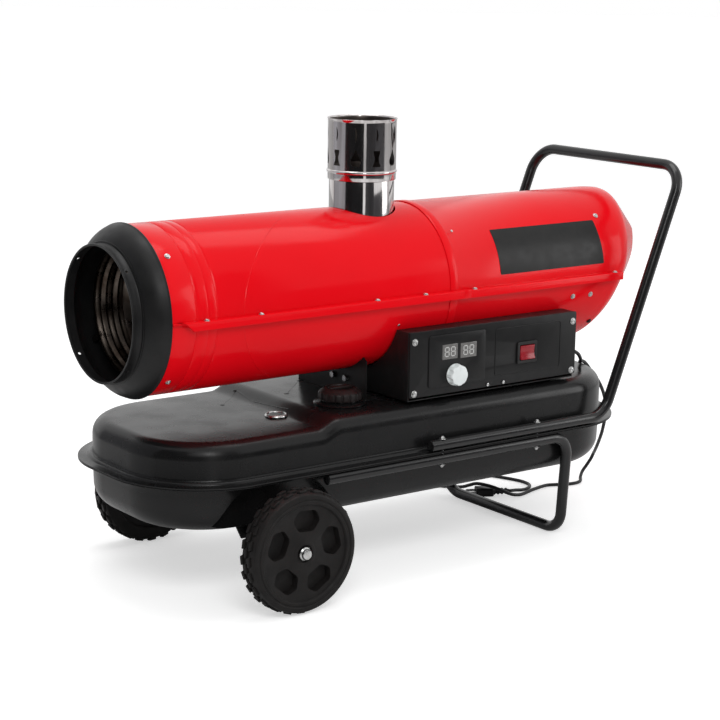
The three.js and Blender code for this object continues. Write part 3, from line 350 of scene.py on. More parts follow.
def shift_points(piece, move):
    """Moves each point by what the rule gives for its place, all in millimetres."""
    for point in piece.data.vertices:
        place = point.co / MM
        point.co = (place + Vector(move(place))) * MM
    piece.data.update()


# ---------------------------------------------------------------- materials

class Finish:
    """A procedural material with noise in its colour, roughness and surface."""

    def __init__(self, name, colour, roughness, metallic=0.0):
        self.material = bpy.data.materials.new(name)
        self.material.use_nodes = True
        self.nodes = self.material.node_tree.nodes
        self.links = self.material.node_tree.links
        self.shader = self.nodes["Principled BSDF"]
        self.shader.inputs["Base Color"].default_value = (*colour, 1)
        self.shader.inputs["Roughness"].default_value = roughness
        self.shader.inputs["Metallic"].default_value = metallic
        self.where = self.nodes.new("ShaderNodeTexCoord")
        self.colour = colour
        self.height = None

    def stretched(self, scale):
        mapping = self.nodes.new("ShaderNodeMapping")
        mapping.inputs["Scale"].default_value = scale
        self.links.new(self.where.outputs["Object"], mapping.inputs["Vector"])
        return mapping.outputs["Vector"]

    def noise(self, scale, detail, stretch):
        texture = self.nodes.new("ShaderNodeTexNoise")
        texture.inputs["Scale"].default_value = scale
        texture.inputs["Detail"].default_value = detail
        texture.inputs["Roughness"].default_value = 0.5
        self.links.new(self.stretched(stretch), texture.inputs["Vector"])
        return texture.outputs["Fac"]

    def ramp(self, value, low, high, from_low=0.3, from_high=0.7):
        mapped = self.nodes.new("ShaderNodeMapRange")
        mapped.inputs["From Min"].default_value = from_low
        mapped.inputs["From Max"].default_value = from_high
        mapped.inputs["To Min"].default_value = low
        mapped.inputs["To Max"].default_value = high
        self.links.new(value, mapped.inputs["Value"])
        return mapped.outputs["Result"]

    def mottle(self, other, scale, low=0.35, high=0.75, stretch=(1, 1, 1)):
        """Lets a second colour through in patches."""
        mix = self.nodes.new("ShaderNodeMix")
        mix.data_type = "RGBA"
        fac = self.ramp(self.noise(scale, 4, stretch), 0, 1, low, high)
        self.links.new(fac, mix.inputs["Factor"])
        mix.inputs["A"].default_value = (*self.colour, 1)
        mix.inputs["B"].default_value = (*other, 1)
        self.links.new(mix.outputs["Result"], self.shader.inputs["Base Color"])
        return self

    def scuff(self, low, high, scale, stretch=(1, 1, 1)):
        """Varies the roughness."""
        self.links.new(self.ramp(self.noise(scale, 4, stretch), low, high), self.shader.inputs["Roughness"])
        return self

    def grain(self, scale, strength, distance, stretch=(1, 1, 1)):
        """Raises a fine relief. Calls add up."""
        bump = self.nodes.new("ShaderNodeBump")
        bump.inputs["Strength"].default_value = strength
        bump.inputs["Distance"].default_value = distance
        self.links.new(self.noise(scale, 3, stretch), bump.inputs["Height"])
        if self.height:
            self.links.new(self.height.outputs["Normal"], bump.inputs["Normal"])
        self.links.new(bump.outputs["Normal"], self.shader.inputs["Normal"])
        self.height = bump
        return self

    def set(self, **sockets):
        for name, value in sockets.items():
            self.shader.inputs[name.replace("_", " ")].default_value = value
        return self


RED = (Finish("red_enamel", (0.78, 0.0030, 0.0085), 0.18).set(Specular_IOR_Level=0.13)
       .mottle((0.73, 0.0026, 0.0075), 6, 0.3, 0.8).scuff(0.13, 0.22, 14)
       .grain(420, 0.03, 0.0002).grain(24, 0.02, 0.0005).material)
BLACK = (Finish("black_enamel", (0.006, 0.006, 0.0063), 0.20).set(Specular_IOR_Level=0.24)
         .mottle((0.008, 0.0079, 0.008), 26).scuff(0.20, 0.32, 18)
         .grain(520, 0.08, 0.0002).grain(60, 0.04, 0.0005).material)
SATIN = (Finish("satin_black", (0.008, 0.008, 0.0083), 0.40).set(Specular_IOR_Level=0.24)
         .mottle((0.011, 0.0108, 0.011), 40).scuff(0.36, 0.48, 50)
         .grain(1400, 0.18, 0.0002).grain(90, 0.05, 0.0004).material)
TUBE = (Finish("tube_enamel", (0.008, 0.008, 0.0085), 0.16).set(Specular_IOR_Level=0.42)
        .mottle((0.012, 0.0118, 0.012), 45).scuff(0.14, 0.24, 30).grain(800, 0.06, 0.0002).material)
MIRROR = (Finish("mirror_steel", (0.68, 0.655, 0.65), 0.09, 1.0)
          .mottle((0.40, 0.37, 0.365), 110, 0.35, 0.7, (1, 1, 0.05)).scuff(0.06, 0.16, 40, (1, 1, 0.08))
          .grain(60, 0.12, 0.0006, (1, 1, 0.2)).material)
HEATED = (Finish("heat_tinted_steel", (0.17, 0.145, 0.125), 0.24, 1.0)
          .mottle((0.05, 0.036, 0.028), 20, 0.30, 0.62).scuff(0.22, 0.45, 60, (0.2, 1, 1))
          .grain(300, 0.15, 0.0003, (0.1, 1, 1)).material)
ZINC = (Finish("zinc_plate", (0.62, 0.62, 0.63), 0.28, 1.0)
        .mottle((0.48, 0.49, 0.46), 220).scuff(0.20, 0.42, 300).grain(900, 0.12, 0.0001).material)
RUBBER = (Finish("tyre_rubber", (0.0065, 0.0058, 0.0056), 0.52).set(Specular_IOR_Level=0.22)
          .mottle((0.011, 0.0094, 0.0088), 38).scuff(0.46, 0.66, 60)
          .grain(1100, 0.26, 0.0003).grain(140, 0.10, 0.0005).material)
MOULDED = (Finish("moulded_black", (0.012, 0.012, 0.0125), 0.42).set(Specular_IOR_Level=0.3)
           .mottle((0.018, 0.0176, 0.0176), 60).scuff(0.36, 0.52, 90).grain(1500, 0.20, 0.0002).material)
CAP = (Finish("cap_plastic", (0.012, 0.0085, 0.0085), 0.40).set(Specular_IOR_Level=0.28)
       .mottle((0.020, 0.0135, 0.013), 50).scuff(0.34, 0.54, 90).grain(1200, 0.25, 0.0002).material)
CORD = (Finish("cord_sheath", (0.012, 0.012, 0.0125), 0.44).set(Specular_IOR_Level=0.3)
        .mottle((0.020, 0.020, 0.021), 70).scuff(0.36, 0.54, 120).grain(900, 0.15, 0.0001).material)
PALE = (Finish("pale_plastic", (0.78, 0.82, 0.82), 0.42)
        .mottle((0.73, 0.77, 0.77), 80).scuff(0.36, 0.50, 120).grain(1600, 0.15, 0.0001).material)
ROCKER = (Finish("rocker_red", (0.30, 0.012, 0.020), 0.20).set(Specular_IOR_Level=0.4)
          .mottle((0.22, 0.008, 0.014), 160).scuff(0.16, 0.28, 150).grain(700, 0.06, 0.0001).material)
DISPLAY = (Finish("display_glass", (0.16, 0.155, 0.15), 0.22)
           .mottle((0.12, 0.118, 0.115), 120).scuff(0.18, 0.30, 140).grain(900, 0.04, 0.0001).material)
DIGIT = (Finish("digit_white", (0.50, 0.50, 0.49), 0.40)
         .mottle((0.42, 0.42, 0.41), 200).grain(1500, 0.05, 0.0001).material)
PLATE = (Finish("plate_black", (0.009, 0.009, 0.009), 0.34).set(Specular_IOR_Level=0.22)
         .mottle((0.013, 0.0124, 0.012), 60).scuff(0.28, 0.42, 60).grain(900, 0.08, 0.0001).material)
CAST = (Finish("cast_grey", (0.18, 0.19, 0.20), 0.50, 0.6)
        .mottle((0.12, 0.125, 0.13), 70).scuff(0.42, 0.62, 120).grain(500, 0.40, 0.0004).material)
BOARD = (Finish("board_green", (0.012, 0.10, 0.045), 0.40)
         .mottle((0.02, 0.16, 0.07), 260).grain(900, 0.2, 0.0001).material)
BRASS = (Finish("turned_brass", (0.58, 0.38, 0.12), 0.30, 1.0)
         .mottle((0.42, 0.27, 0.09), 120).scuff(0.22, 0.42, 200).grain(1200, 0.10, 0.0001).material)
ALUMINIUM = (Finish("blade_aluminium", (0.56, 0.57, 0.58), 0.36, 1.0)
             .mottle((0.44, 0.45, 0.46), 60).scuff(0.28, 0.48, 80, (1, 1, 0.1))
             .grain(700, 0.15, 0.0002).material)
# Dark steel with upright streaks for the inner faces of the flue pipes: painted shade for their shaded insides.
INNER_SHADE_STEEL = (Finish("inner_shade_steel", (0.10, 0.088, 0.080), 0.34, 1.0)
          .mottle((0.035, 0.028, 0.025), 18, 0.3, 0.7, (1, 1, 0.3)).scuff(0.28, 0.50, 50, (1, 1, 0.2))
          .grain(400, 0.12, 0.0002).material)


def refinish(nodes, material):
    """CAD pieces whose shape is right keep it and get a finish."""
    for node in nodes:
        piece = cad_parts[node]
        piece.data.materials.clear()
        piece.data.materials.append(material)


# ---------------------------------------------------------------- mains lead

CORD_R = 3.25
LEAD = [
    (346.6, -108, 322), (363.2, -107.8, 320), (378, -104.8, 312.6), (395.9, -93.3, 296.8),
    (404.4, -82.1, 290.6), (415, -71.4, 289.2), (430.5, -64.4, 285.4), (442.4, -61.9, 276.3),
    (452.6, -60.9, 264.9), (478.8, -56.2, 239.3), (506.4, -44.3, 204.5), (525.1, -28.7, 165.7),
    (540.8, -6.7, 128.5), (559.8, 21.7, 97.8), (581.9, 52.7, 72.2), (607.2, 84.7, 52.4),
    (608.3, 92.6, 39.7), (602.8, 97.6, 26.7), (591.9, 98, 15.1), (580.8, 91, 6.7), (570.4, 79.9, 3.6),
    (556.5, 72.7, 3.6), (540.6, 72.7, 3.5), (522.5, 79, 3.5), (493.5, 90.6, 3.6), (476.2, 89.5, 3.5),
    (446.1, 81.4, 3.9), (402.2, 68.3, 4.2), (381.2, 69.9, 8.4), (365.3, 79.5, 16.4), (351.4, 99.6, 22.3),
    (342.4, 125.9, 21.9), (338.8, 141.8, 15.8), (335.7, 159.1, 8.8), (324, 191.8, 3.6), (308.2, 211, 3.6),
    (273.2, 240.9, 3.5), (261.7, 265, 3.5), (260.7, 280, 3.5),
]
TAIL = [
    (300, 319.3, 10.1), (322, 319, 9.6), (345, 314, 6.6), (369, 302, 3.8), (392, 284, 3.5), (412, 262, 3.5),
    (430, 236, 3.5), (445, 208, 3.5), (457, 180, 3.5), (467, 152, 3.5), (470, 133, 3.5), (467, 115, 3.5),
    (456, 101, 3.5), (441, 93, 3.7), (427, 89.6, 4.8), (410, 87.8, 7.4), (394, 87.5, 8.7),
]
COIL = dict(x=300, y=280, outer=39.3, inner=32.7, low=3.5, high=10.1)


def ease(value, start, end):
    share = min(max((value - start) / (end - start), 0), 1)
    return share * share * (3 - 2 * share)


def coil_points():
    """Three turns and a quarter, clockwise: outer lane, inner lane, up, inner lane, outer lane."""
    points = []
    for turned_by in range(12, 1170, 12):
        inwards = ease(turned_by, 296, 356) - ease(turned_by, 1016, 1076)
        radius = COIL["outer"] - (COIL["outer"] - COIL["inner"]) * inwards
        height = COIL["low"] + (COIL["high"] - COIL["low"]) * ease(turned_by, 590, 655)
        angle = math.radians(180 - turned_by)
        points.append((COIL["x"] + radius * math.cos(angle), COIL["y"] + radius * math.sin(angle), height))
    return points


def smooth_route(points, spacing=2.5):
    """A smooth line through the points (centripetal Catmull-Rom), as points close together."""
    places = [Vector(p) for p in points]
    places = [places[0] * 2 - places[1], *places, places[-1] * 2 - places[-2]]
    route = []
    for p0, p1, p2, p3 in zip(places, places[1:], places[2:], places[3:]):
        t1 = (p1 - p0).length ** 0.5
        t2 = t1 + (p2 - p1).length ** 0.5
        t3 = t2 + (p3 - p2).length ** 0.5
        steps = max(2, round((p2 - p1).length / spacing))
        for k in range(steps):
            t = t1 + (t2 - t1) * k / steps
            a1 = p0 * ((t1 - t) / t1) + p1 * (t / t1)
            a2 = p1 * ((t2 - t) / (t2 - t1)) + p2 * ((t - t1) / (t2 - t1))
            a3 = p2 * ((t3 - t) / (t3 - t2)) + p3 * ((t - t2) / (t3 - t2))
            b1 = a1 * ((t2 - t) / t2) + a2 * (t / t2)
            b2 = a2 * ((t3 - t) / (t3 - t1)) + a3 * ((t - t1) / (t3 - t1))
            route.append(b1 * ((t2 - t) / (t2 - t1)) + b2 * ((t - t1) / (t2 - t1)))
    route.append(places[-2])
    return route


def mains_lead():
    route = smooth_route(LEAD + coil_points() + TAIL)
    lead = round_curve("mains_lead", route, CORD_R, 4)
    lead.data.materials.clear()
    lead.data.materials.append(CORD)
    length = sum((b - a).length for a, b in zip(route, route[1:])) * MM
    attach(lead, "chassis")
    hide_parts("power_cord", "power_cord_coil", "power_cord_tail")
    put_down()
    return lead, round(length, 3)


def mains_plug():
    """An angled moulded plug body with a ribbed strain relief and two round pins, lying on its side."""
    relief = [(0, 0), (4.0, 0), (4.4, 0.6)]
    for k in range(4):
        along = 4 + 7.4 * k
        core = 4.4 + 0.25 * k
        relief += [(core, along), (core + 1.5, along + 0.3), (core + 1.8, along + 1), (core + 1.8, along + 3.2),
                   (core + 1.5, along + 3.9), (core, along + 4.2)]
    relief += [(5.6, 34), (0, 34)]
    sleeve = turned("plug_relief", relief, "y", steps=32)
    body = pressed_sheet("plug_body", rounded_outline(-13, 13, -8.4, 8.4, 5), "y", 32, 64)
    inset_faces(body, lambda c, n: n.y > 0.9, (1.6, 0.8), (0.8, -0.8))
    inset_faces(body, lambda c, n: n.y < -0.9, (3, 2.2))
    inset_faces(body, lambda c, n: abs(n.x) > 0.98 and 36 < c.y < 60, (2.2, -0.6))
    soften(body, 0.7, 3)
    pins = [turned("plug_pin", [(0, 63), (2.4, 63), (2.4, 80.6), (1.9, 81.8), (0, 82)], "y", (x, 0, 0), 24)
            for x in (-9.5, 9.5)]
    turn = Matrix.Translation(spot(392, 88, 8.7)) @ Matrix.Rotation(math.radians(60), 4, "Z")
    moulding = together("plug_moulding", [body, sleeve])
    moulding.data.transform(turn)
    settle(moulding, MOULDED)
    metal = together("plug_pins", pins)
    metal.data.transform(turn)
    settle(metal, ZINC)
    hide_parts("mains_plug")
    return [moulding, metal]


def cord_gland():
    """A clamped gland with a hexagon outside the tray and a ribbed, tapered strain relief."""
    wall = (312.1, -108, 322)
    hexagon = turned("gland_hexagon", [(0, 0.5), (10.4, 0.5), (11, 1.1), (11, 5.2), (10, 6), (0, 6)], "x", wall, 6)
    profile = [(3.4, -6), (7.6, -6), (7.6, 0.4), (8, 5.5), (8.3, 8.2), (7.8, 9)]
    for k in range(6):
        along = 10 + 3.9 * k
        wide = 7.6 - 0.5 * k
        profile += [(wide - 0.9, along), (wide - 0.9, along + 1.2), (wide, along + 1.5), (wide - 0.1, along + 3.5)]
    profile += [(4.6, 33.6), (4.3, 34), (3.4, 34), (3.4, -6)]
    relief = turned("gland_relief", profile, "x", wall, 40)
    soften(hexagon, 0.4)
    settle(together("lead_gland", [hexagon, relief]), MOULDED, stands_for=["cord_gland"])


# ---------------------------------------------------------------- barrel

SEAM_ROOT = 135.2
SEAM_GAP = 0.15
UPPER_SEAM = [(SEAM_ROOT, 461.2), (146.4, 461.2), (146.4, 449.5), (147.9, 449.5), (147.9, 461.9), (147.5, 462.6),
              (146.8, 462.9), (135.6, 462.9)]
LOWER_SEAM = [(SEAM_ROOT, 460.8), (145.6, 460.8), (145.6, 459.2), (135.6, 459.2)]


def seam_edge(name, start, end, upper):
    """The out-turned flange of a half shell. The upper one has a lip folded down over the lower.

    At the air outlet the flange is cut back slanting, and a narrow strip of it goes on to the nose."""
    def cut_back(p):
        slant = (abs(p.y) - SEAM_ROOT) * 0.9 + (461 - p.z) * 1.1
        return (slant if p.x < start + 1 else 0, 0, 0)

    strips = []
    for side in (-1, 1):
        outline = [(side * y, z) for y, z in (UPPER_SEAM if upper else LOWER_SEAM)]
        strip = pressed_sheet(name + "_strip", outline, "x", start, end)
        if start < -400:
            shift_points(strip, cut_back)
            low = 461.2 if upper else 459.2
            root, edge = side * SEAM_ROOT, side * 140.4
            narrow = [(root, low), (edge, low), (edge, low + 1.7), (root, low + 1.7)]
            strips.append(pressed_sheet(name + "_narrow", narrow, "x", SHELL_FRONT + 2, start + 10))
            if upper:
                inner, outer = sorted((side * 146.4, side * 148.4))
                tab = block(name + "_tab", (74, inner, 449.2), (88, outer, 463.5))
                soften(tab, 0.4)
                strips.append(tab)
        strips.append(strip)
    return strips


def half_of(piece, upper):
    """Cuts a spun shell at the seam plane and keeps one half, closed along the cut."""
    height = AXIS_Z + (SEAM_GAP if upper else -SEAM_GAP)
    bisect(piece, [(0, 0, height)], (0, 0, 1), use_fill=True, clear_inner=upper, clear_outer=not upper)


def bead(centre, width, depth, steps=4):
    """A rolled groove round the shell: pairs of radius and distance."""
    return [(BARREL_R - depth * math.sin(math.pi * k / steps) ** 2, centre + width * (k / steps - 0.5))
            for k in range(steps + 1)]


def front_shell(upper):
    profile = [(BARREL_R - SHEET, SHELL_FRONT), (BARREL_R, SHELL_FRONT)]
    for centre, width, depth in ((-445, 5.5, 1.3), (-423.5, 4, 0.6), (-407, 5.5, 1.3)):
        profile += bead(centre, width, depth)
    profile += [(BARREL_R, 58.6), (BARREL_R - SHEET, 58.6), (BARREL_R - SHEET, SHELL_FRONT)]
    name = "shell_front_top" if upper else "shell_front_bottom"
    shell = turned(name, profile, "x", (0, 0, AXIS_Z), 128)
    half_of(shell, upper)
    if upper:
        cut_away(shell, [rod(57.5, 120, spot(FLUE_X, 0, 590), sides=96)])
    shell = together(name, [shell, *seam_edge(name, -480, 76, upper)])
    settle(shell, RED, stands_for=["shell_front_upper" if upper else "shell_front_lower"])


HOOD = dict(bend=448.2, ease=17.7, rim_r=77.2, rim_x=516.3, lean=0.164, bulge=0.261, tuck=0.32, step=4.9)


def hood_line(outer, steps=10):
    """The rear hood seen from the side: a rounded bend, then a straight cone to the air inlet."""
    inset = BARREL_R - outer
    corner = Vector((outer, HOOD["bend"] - inset * 0.4))
    rim = Vector((HOOD["rim_r"] - inset * 0.6, HOOD["rim_x"] - inset * 0.6))
    first = corner - Vector((0, HOOD["ease"]))
    last = corner + (rim - corner).normalized() * HOOD["ease"]
    line = soft_corner(first, corner, last, steps) + [last.lerp(rim, k / 8) for k in range(1, 9)]
    return [tuple(p) for p in line]


def hood_lean(p):
    """The end of the hood leans backwards, more above the seam than below, and most at the top."""
    share = ease(p.x, 386, 456)
    height = p.z - AXIS_Z
    if height > 0:
        shift = HOOD["lean"] * height + HOOD["bulge"] * (BARREL_R - abs(p.y)) * min(height / 60, 1)
    else:
        shift = HOOD["tuck"] * height
    return (share * (shift + HOOD["step"] * ease(height, -35, 35)), 0, 0)


def crease_lines():
    """Thin embossed ridges that slant round the front shell, one on each side."""
    ridges = []
    sunk = BARREL_R - 0.35
    for side in (-1, 1):
        run = []
        for k in range(29):
            angle = math.radians(-60 + 136 * k / 28)
            y = -BARREL_R * math.cos(angle)
            run.append((-359 + 1.35 * (y + 136), -side * y * sunk / BARREL_R, AXIS_Z + sunk * math.sin(angle)))
        ridges.append(tube("slant_ridge", run, 0.9, 2))
    settle(together("shell_crease_lines", ridges), RED)


def rear_shell(upper):
    start = 59
    lap = BARREL_R + SHEET + 0.3
    profile = [(BARREL_R + 0.3, start - 6.5), (lap - 0.4, start - 7), (lap, start - 6), (lap, start + 8),
               (lap - 0.8, start + 10), (BARREL_R, start + 11.5), (BARREL_R, 300), (BARREL_R, 372), (BARREL_R, 395)]
    profile += hood_line(BARREL_R)
    profile += list(reversed(hood_line(BARREL_R - SHEET)))
    profile += [(BARREL_R - SHEET, start + 0.2), (BARREL_R + 0.3, start), (BARREL_R + 0.3, start - 6.5)]
    name = "shell_rear_top" if upper else "shell_rear_bottom"
    shell = turned(name, profile, "x", (0, 0, AXIS_Z), 128)
    half_of(shell, upper)
    shift_points(shell, hood_lean)
    shell = together(name, [shell, *seam_edge(name, 77, 440, upper)])
    settle(shell, RED, stands_for=["shell_rear_upper" if upper else "shell_rear_lower"])


for upper in (True, False):
    front_shell(upper)
    rear_shell(upper)
crease_lines()


# ---------------------------------------------------------------- screws

def on_barrel(x, angle, lift):
    """The place on the near side of the barrel at an angle above the axis, and its outward direction."""
    a = math.radians(angle)
    out = Vector((0, -math.cos(a), math.sin(a)))
    return spot(x, 0, AXIS_Z) + out * (BARREL_R + lift) * MM, out


def screw(name, place, out, radius, height, material=ZINC, washer=True, recess=True):
    """A pan head, with a round recess and on a washer, unless one of them is left out."""
    turn = out.to_track_quat("Z", "Y").to_euler()
    head = rod(radius, height, place + out * height * 0.5 * MM, turn, 24)
    bpy.ops.object.transform_apply(location=True, rotation=True, scale=True)
    steps = [(radius * 0.34, radius * 0.16)]
    if recess:
        steps += [(radius * 0.22, 0), (radius * 0.05, -height * 0.35)]
    inset_faces(head, lambda c, n: n.dot(out) > 0.9, *steps)
    soften(head, 0.35)
    pieces = [head]
    if washer:
        ring = rod(radius * 1.35, 0.8, place + out * 0.4 * MM, turn, 28)
        bpy.ops.object.transform_apply(location=True, rotation=True, scale=True)
        soften(ring, 0.2, 1)
        pieces.append(ring)
    settle(together(name, pieces), material)


def barrel_screws():
    """Screws in the seam flange and in the shells. Shell screws have a lift, a finish and a size."""
    up = Vector((0, 0, 1))
    shell_screws = ((-472, 46, 0, ZINC, False), (-472, -46, 0, ZINC, False), (376, -14.7, 0, ZINC, False),
                    (334, -14.7, 0, ZINC, False), (416, 46, 0, ZINC, False), (403, -41.5, 0, SATIN, False),
                    (81, 44, 1.8, ZINC, True), (-50, -20, 0, ZINC, True))
    for side in (-1, 1):
        tag = side_name(side)
        for k, x in enumerate((-431, -331, -105, -5.5, 100, 424)):
            screw(f"seam_screw_{tag}_{k + 1}", spot(x, side * 142.5, 462.8), up, 3.6, 2.2)
        for k, (x, angle, lift, material, small) in enumerate(shell_screws):
            place, out = on_barrel(x, angle, lift)
            if side > 0:
                place.y, out.y = -place.y, -out.y
            radius, height = (2.2, 1.2) if small else (3.6, 2.2)
            screw(f"shell_screw_{tag}_{k + 1}", place, out, radius, height, material, not small, not small)


barrel_screws()


# ---------------------------------------------------------------- air outlet

def outlet_cone():
    """The satin black nose: a rolled collar, a flared cone and a sharp rim that laps over the shells."""
    front = -541.5
    outside = [(108.4, front + 0.2), (109.4, front), (110, front + 0.8), (110, front + 2.6), (109.2, front + 3.8),
               (109.2, front + 15.4), (109.8, front + 16.4), (112.6, front + 16.8), (113.4, front + 17.6),
               (113, front + 18.6), (116.2, front + 20.2), (121.6, front + 24), (127.2, front + 29),
               (131.6, front + 34), (135, front + 39.4), (137.6, front + 45.4), (138.7, front + 49.4),
               (139.4, front + 50), (139.5, front + 51.4), (139, front + 52)]
    inside = [(137.7, front + 52), (137.1, front + 49.6), (134.6, front + 49.6), (134.6, front + 78),
              (132.8, front + 78), (132.8, front + 46), (127.5, front + 37), (120.5, front + 28), (110, front + 20),
              (107.6, front + 17), (107.4, front + 4), (106.2, front + 2.6), (106.4, front + 0.8),
              (108.4, front + 0.2)]
    nose = turned("outlet_nose", outside + inside, "x", (0, 0, AXIS_Z), 144)
    holes = []
    for k in range(4):
        angle = math.radians(90 * k + 45)
        out = Vector((0, -math.cos(angle), math.sin(angle)))
        turn = out.to_track_quat("Z", "Y").to_euler()
        holes.append(rod(2.5, 20, spot(front + 9, 0, AXIS_Z) + out * 0.109, turn, 20))
    cut_away(nose, holes)
    settle(nose, SATIN, stands_for=["nozzle"])


outlet_cone()


def outlet_rings():
    """A spun liner of heat tinted steel that narrows in ridged steps to the exchanger."""
    outside = []
    start, radius = -492, 103.4
    for k in range(5):
        outside += [(radius, start), (radius + 0.9, start + 1.4), (radius + 0.9, start + 3.8), (radius, start + 5.2)]
        start += 9.4
        radius -= 3.4 if k % 2 else 1.2
    for k in range(5):
        outside += [(radius, start), (radius - 6, start + 2.5)]
        start += 6.4
        radius -= 8.5
    inside = [(r - 1.5, x + 0.2) for r, x in reversed(outside)]
    liner = turned("liner_spun", outside + inside + [outside[0]], "x", (0, 0, AXIS_Z), 128)
    strut = block("liner_strut", (-488, -5, AXIS_Z + 101.6), (-480, 5, AXIS_Z + 131.6))
    soften(strut, 0.6)
    struts = copies_round(strut, (0, 120, 240), "X", (0, 0, AXIS_Z))
    settle(together("outlet_liner_rings", [liner, *struts]), HEATED, stands_for=["outlet_liner"])


outlet_rings()
refinish(["exchanger_drum", "burner_head"], HEATED)


# ---------------------------------------------------------------- flue

# Half outlines of the cowl's cut-outs, from the middle of the slot, and the leaf above each of them.
DROP = [(4.6, 668.2), (7.6, 670.6), (9, 674.4), (8.8, 678.4), (7, 682.6), (4.6, 686.2), (2.8, 689.6), (1.8, 694.8)]
BELL = [(7.6, 668), (6.6, 671), (4.8, 675), (3.8, 679), (3.6, 683), (4.8, 687), (5.8, 690.4), (5.6, 694.4)]
LEAF = [(-0.4, 708), (1.6, 714), (2.6, 720), (1.4, 727), (-1.8, 733), (-1, 726), (-0.6, 720), (-1.2, 714)]


def paint_inner_shade(piece, radius):
    """Gives the inner faces of a pipe a dark steel finish: painted shade for the shade inside the pipe."""
    piece.data.materials.append(INNER_SHADE_STEEL)
    for face in piece.data.polygons:
        if math.hypot(face.center.x - FLUE_X * MM, face.center.y) < radius * MM:
            face.material_index = 1


def flue():
    pipe = turned("flue_stub", [(53.6, 569.4), (54.9, 569.4), (54.9, 664), (54.2, 665), (53.6, 664), (53.6, 569.4)],
                  "z", (FLUE_X, 0, 0), 128)
    settle(pipe, MIRROR, stands_for=["flue_pipe"])
    paint_inner_shade(pipe, 54)
    low, high = 643, 745
    outside = [(57.3, low), (57.5, low + 0.5), (57.5, low + 11)]
    outside += [(57.5 + 2 * math.sin(math.pi * k / 6), low + 11 + 6 * k / 6) for k in range(1, 7)]
    outside += [(57.5, high - 6), (57.9, high - 3), (58.9, high - 0.8), (59.1, high - 0.2), (58.9, high)]
    inside = [(58.4, high - 0.3), (57.2, high - 2.6), (56.6, high - 6), (56.6, low + 0.3), (57.3, low)]
    cowl = turned("flue_cowl_pierced", outside + inside, "z", (FLUE_X, 0, 0), 176)
    cutters = []
    for k in range(10):
        half = DROP if k % 2 else BELL
        flame = [(-u, v) for u, v in half] + [(u, v) for u, v in reversed(half)]
        for outline in (flame, LEAF):
            tool = pressed_sheet("flame_cutter", [(u + FLUE_X, v) for u, v in outline], "y", -66, -48)
            cutters += copies_round(tool, [36 * k - 11.1], "Z", (FLUE_X, 0, 0))
    cut_away(cowl, [together("cowl_cutters", cutters)])
    settle(cowl, MIRROR, stands_for=["flue_cowl"])
    paint_inner_shade(cowl, 57.1)


flue()


# ---------------------------------------------------------------- fuel tank

TANK = dict(x=-34.5, hx=340.5, hy=37)
TANK_STEPS = 96
PLATEAU = dict(start=-236, end=-194, rise=14)


def stretch_corners(p):
    """Pulls the four quarters of a spun pressing apart into a rounded rectangle."""
    if math.hypot(p.x - TANK["x"], p.y) < 0.01:
        return (0, 0, 0)
    return (math.copysign(TANK["hx"], p.x - TANK["x"]), math.copysign(TANK["hy"], p.y), 0)


def tank_pressing(name, profile):
    """A spun pressing, turned by half a step, so that no point lies on a middle line, and pulled apart."""
    piece = turned(name, profile, "z", (TANK["x"], 0, 0), TANK_STEPS)
    take(piece)
    piece.data.transform(Matrix.Translation(spot(TANK["x"], 0, 0))
                         @ Matrix.Rotation(math.radians(180 / TANK_STEPS), 4, "Z")
                         @ Matrix.Translation(-spot(TANK["x"], 0, 0)))
    shift_points(piece, stretch_corners)
    return piece


def round_over(cu, cv, radius, first, last, steps=8):
    return [(cu + radius * math.cos(math.radians(first + (last - first) * k / steps)),
             cv + radius * math.sin(math.radians(first + (last - first) * k / steps))) for k in range(steps + 1)]


def plateau_rise(x):
    """How much higher the tank top lies at x, where it climbs to its rear part."""
    return PLATEAU["rise"] * ease(x, PLATEAU["start"], PLATEAU["end"])


def tank_top():
    profile = [(0, 206.3), (161.5, 206.3), (163, 206.6), (163, 207.6), (162.2, 208.4), (149, 208.4), (147, 209.2),
               (145.6, 211.8), (143.6, 213.3), (140.6, 213.4), (139.3, 215.2), (139, 217)]
    profile += round_over(113, 245, 26, 0, 90)
    profile += [(0, 271)]
    top = tank_pressing("tank_top", profile)
    bisect(top, [(x, 0, 0) for x in range(PLATEAU["start"], PLATEAU["end"] + 1, 6)], (1, 0, 0))
    shift_points(top, lambda p: (0, 0, plateau_rise(p.x) * min(max((p.z - 222) / 24, 0), 1)))
    settle(top, BLACK, stands_for=["tank_upper"])


def tank_bottom():
    profile = [(0, 126), (98, 126)]
    profile += round_over(98, 166, 40, -86, -8, 10)
    profile += [(138.6, 186), (139, 200), (140.5, 203.2), (144, 204), (161.8, 204), (163, 204.6), (163, 205.6),
                (162, 206), (0, 206)]
    bottom = tank_pressing("tank_bottom", profile)
    cutters = []
    for side in (-1, 1):
        arch = rod(116, 110, spot(AXLE[0], side * 205, AXLE[2]), ALONG_Y, 96)
        bpy.ops.object.transform_apply(location=True, rotation=True, scale=True)
        bisect(arch, [(0, 0, 203.6)], (0, 0, 1), use_fill=True, clear_outer=True)
        cutters.append(arch)
    cut_away(bottom, cutters)
    settle(bottom, BLACK, stands_for=["tank_lower"])


tank_top()
tank_bottom()


def straight_runs(run, spacing=6):
    """Straight runs between corners, as points close together."""
    points = []
    for (x0, y0), (x1, y1) in zip(run, run[1:]):
        steps = max(2, round(math.hypot(x1 - x0, y1 - y0) / spacing))
        points += [(x0 + (x1 - x0) * k / steps, y0 + (y1 - y0) * k / steps) for k in range(steps)]
    return points + [run[-1]]


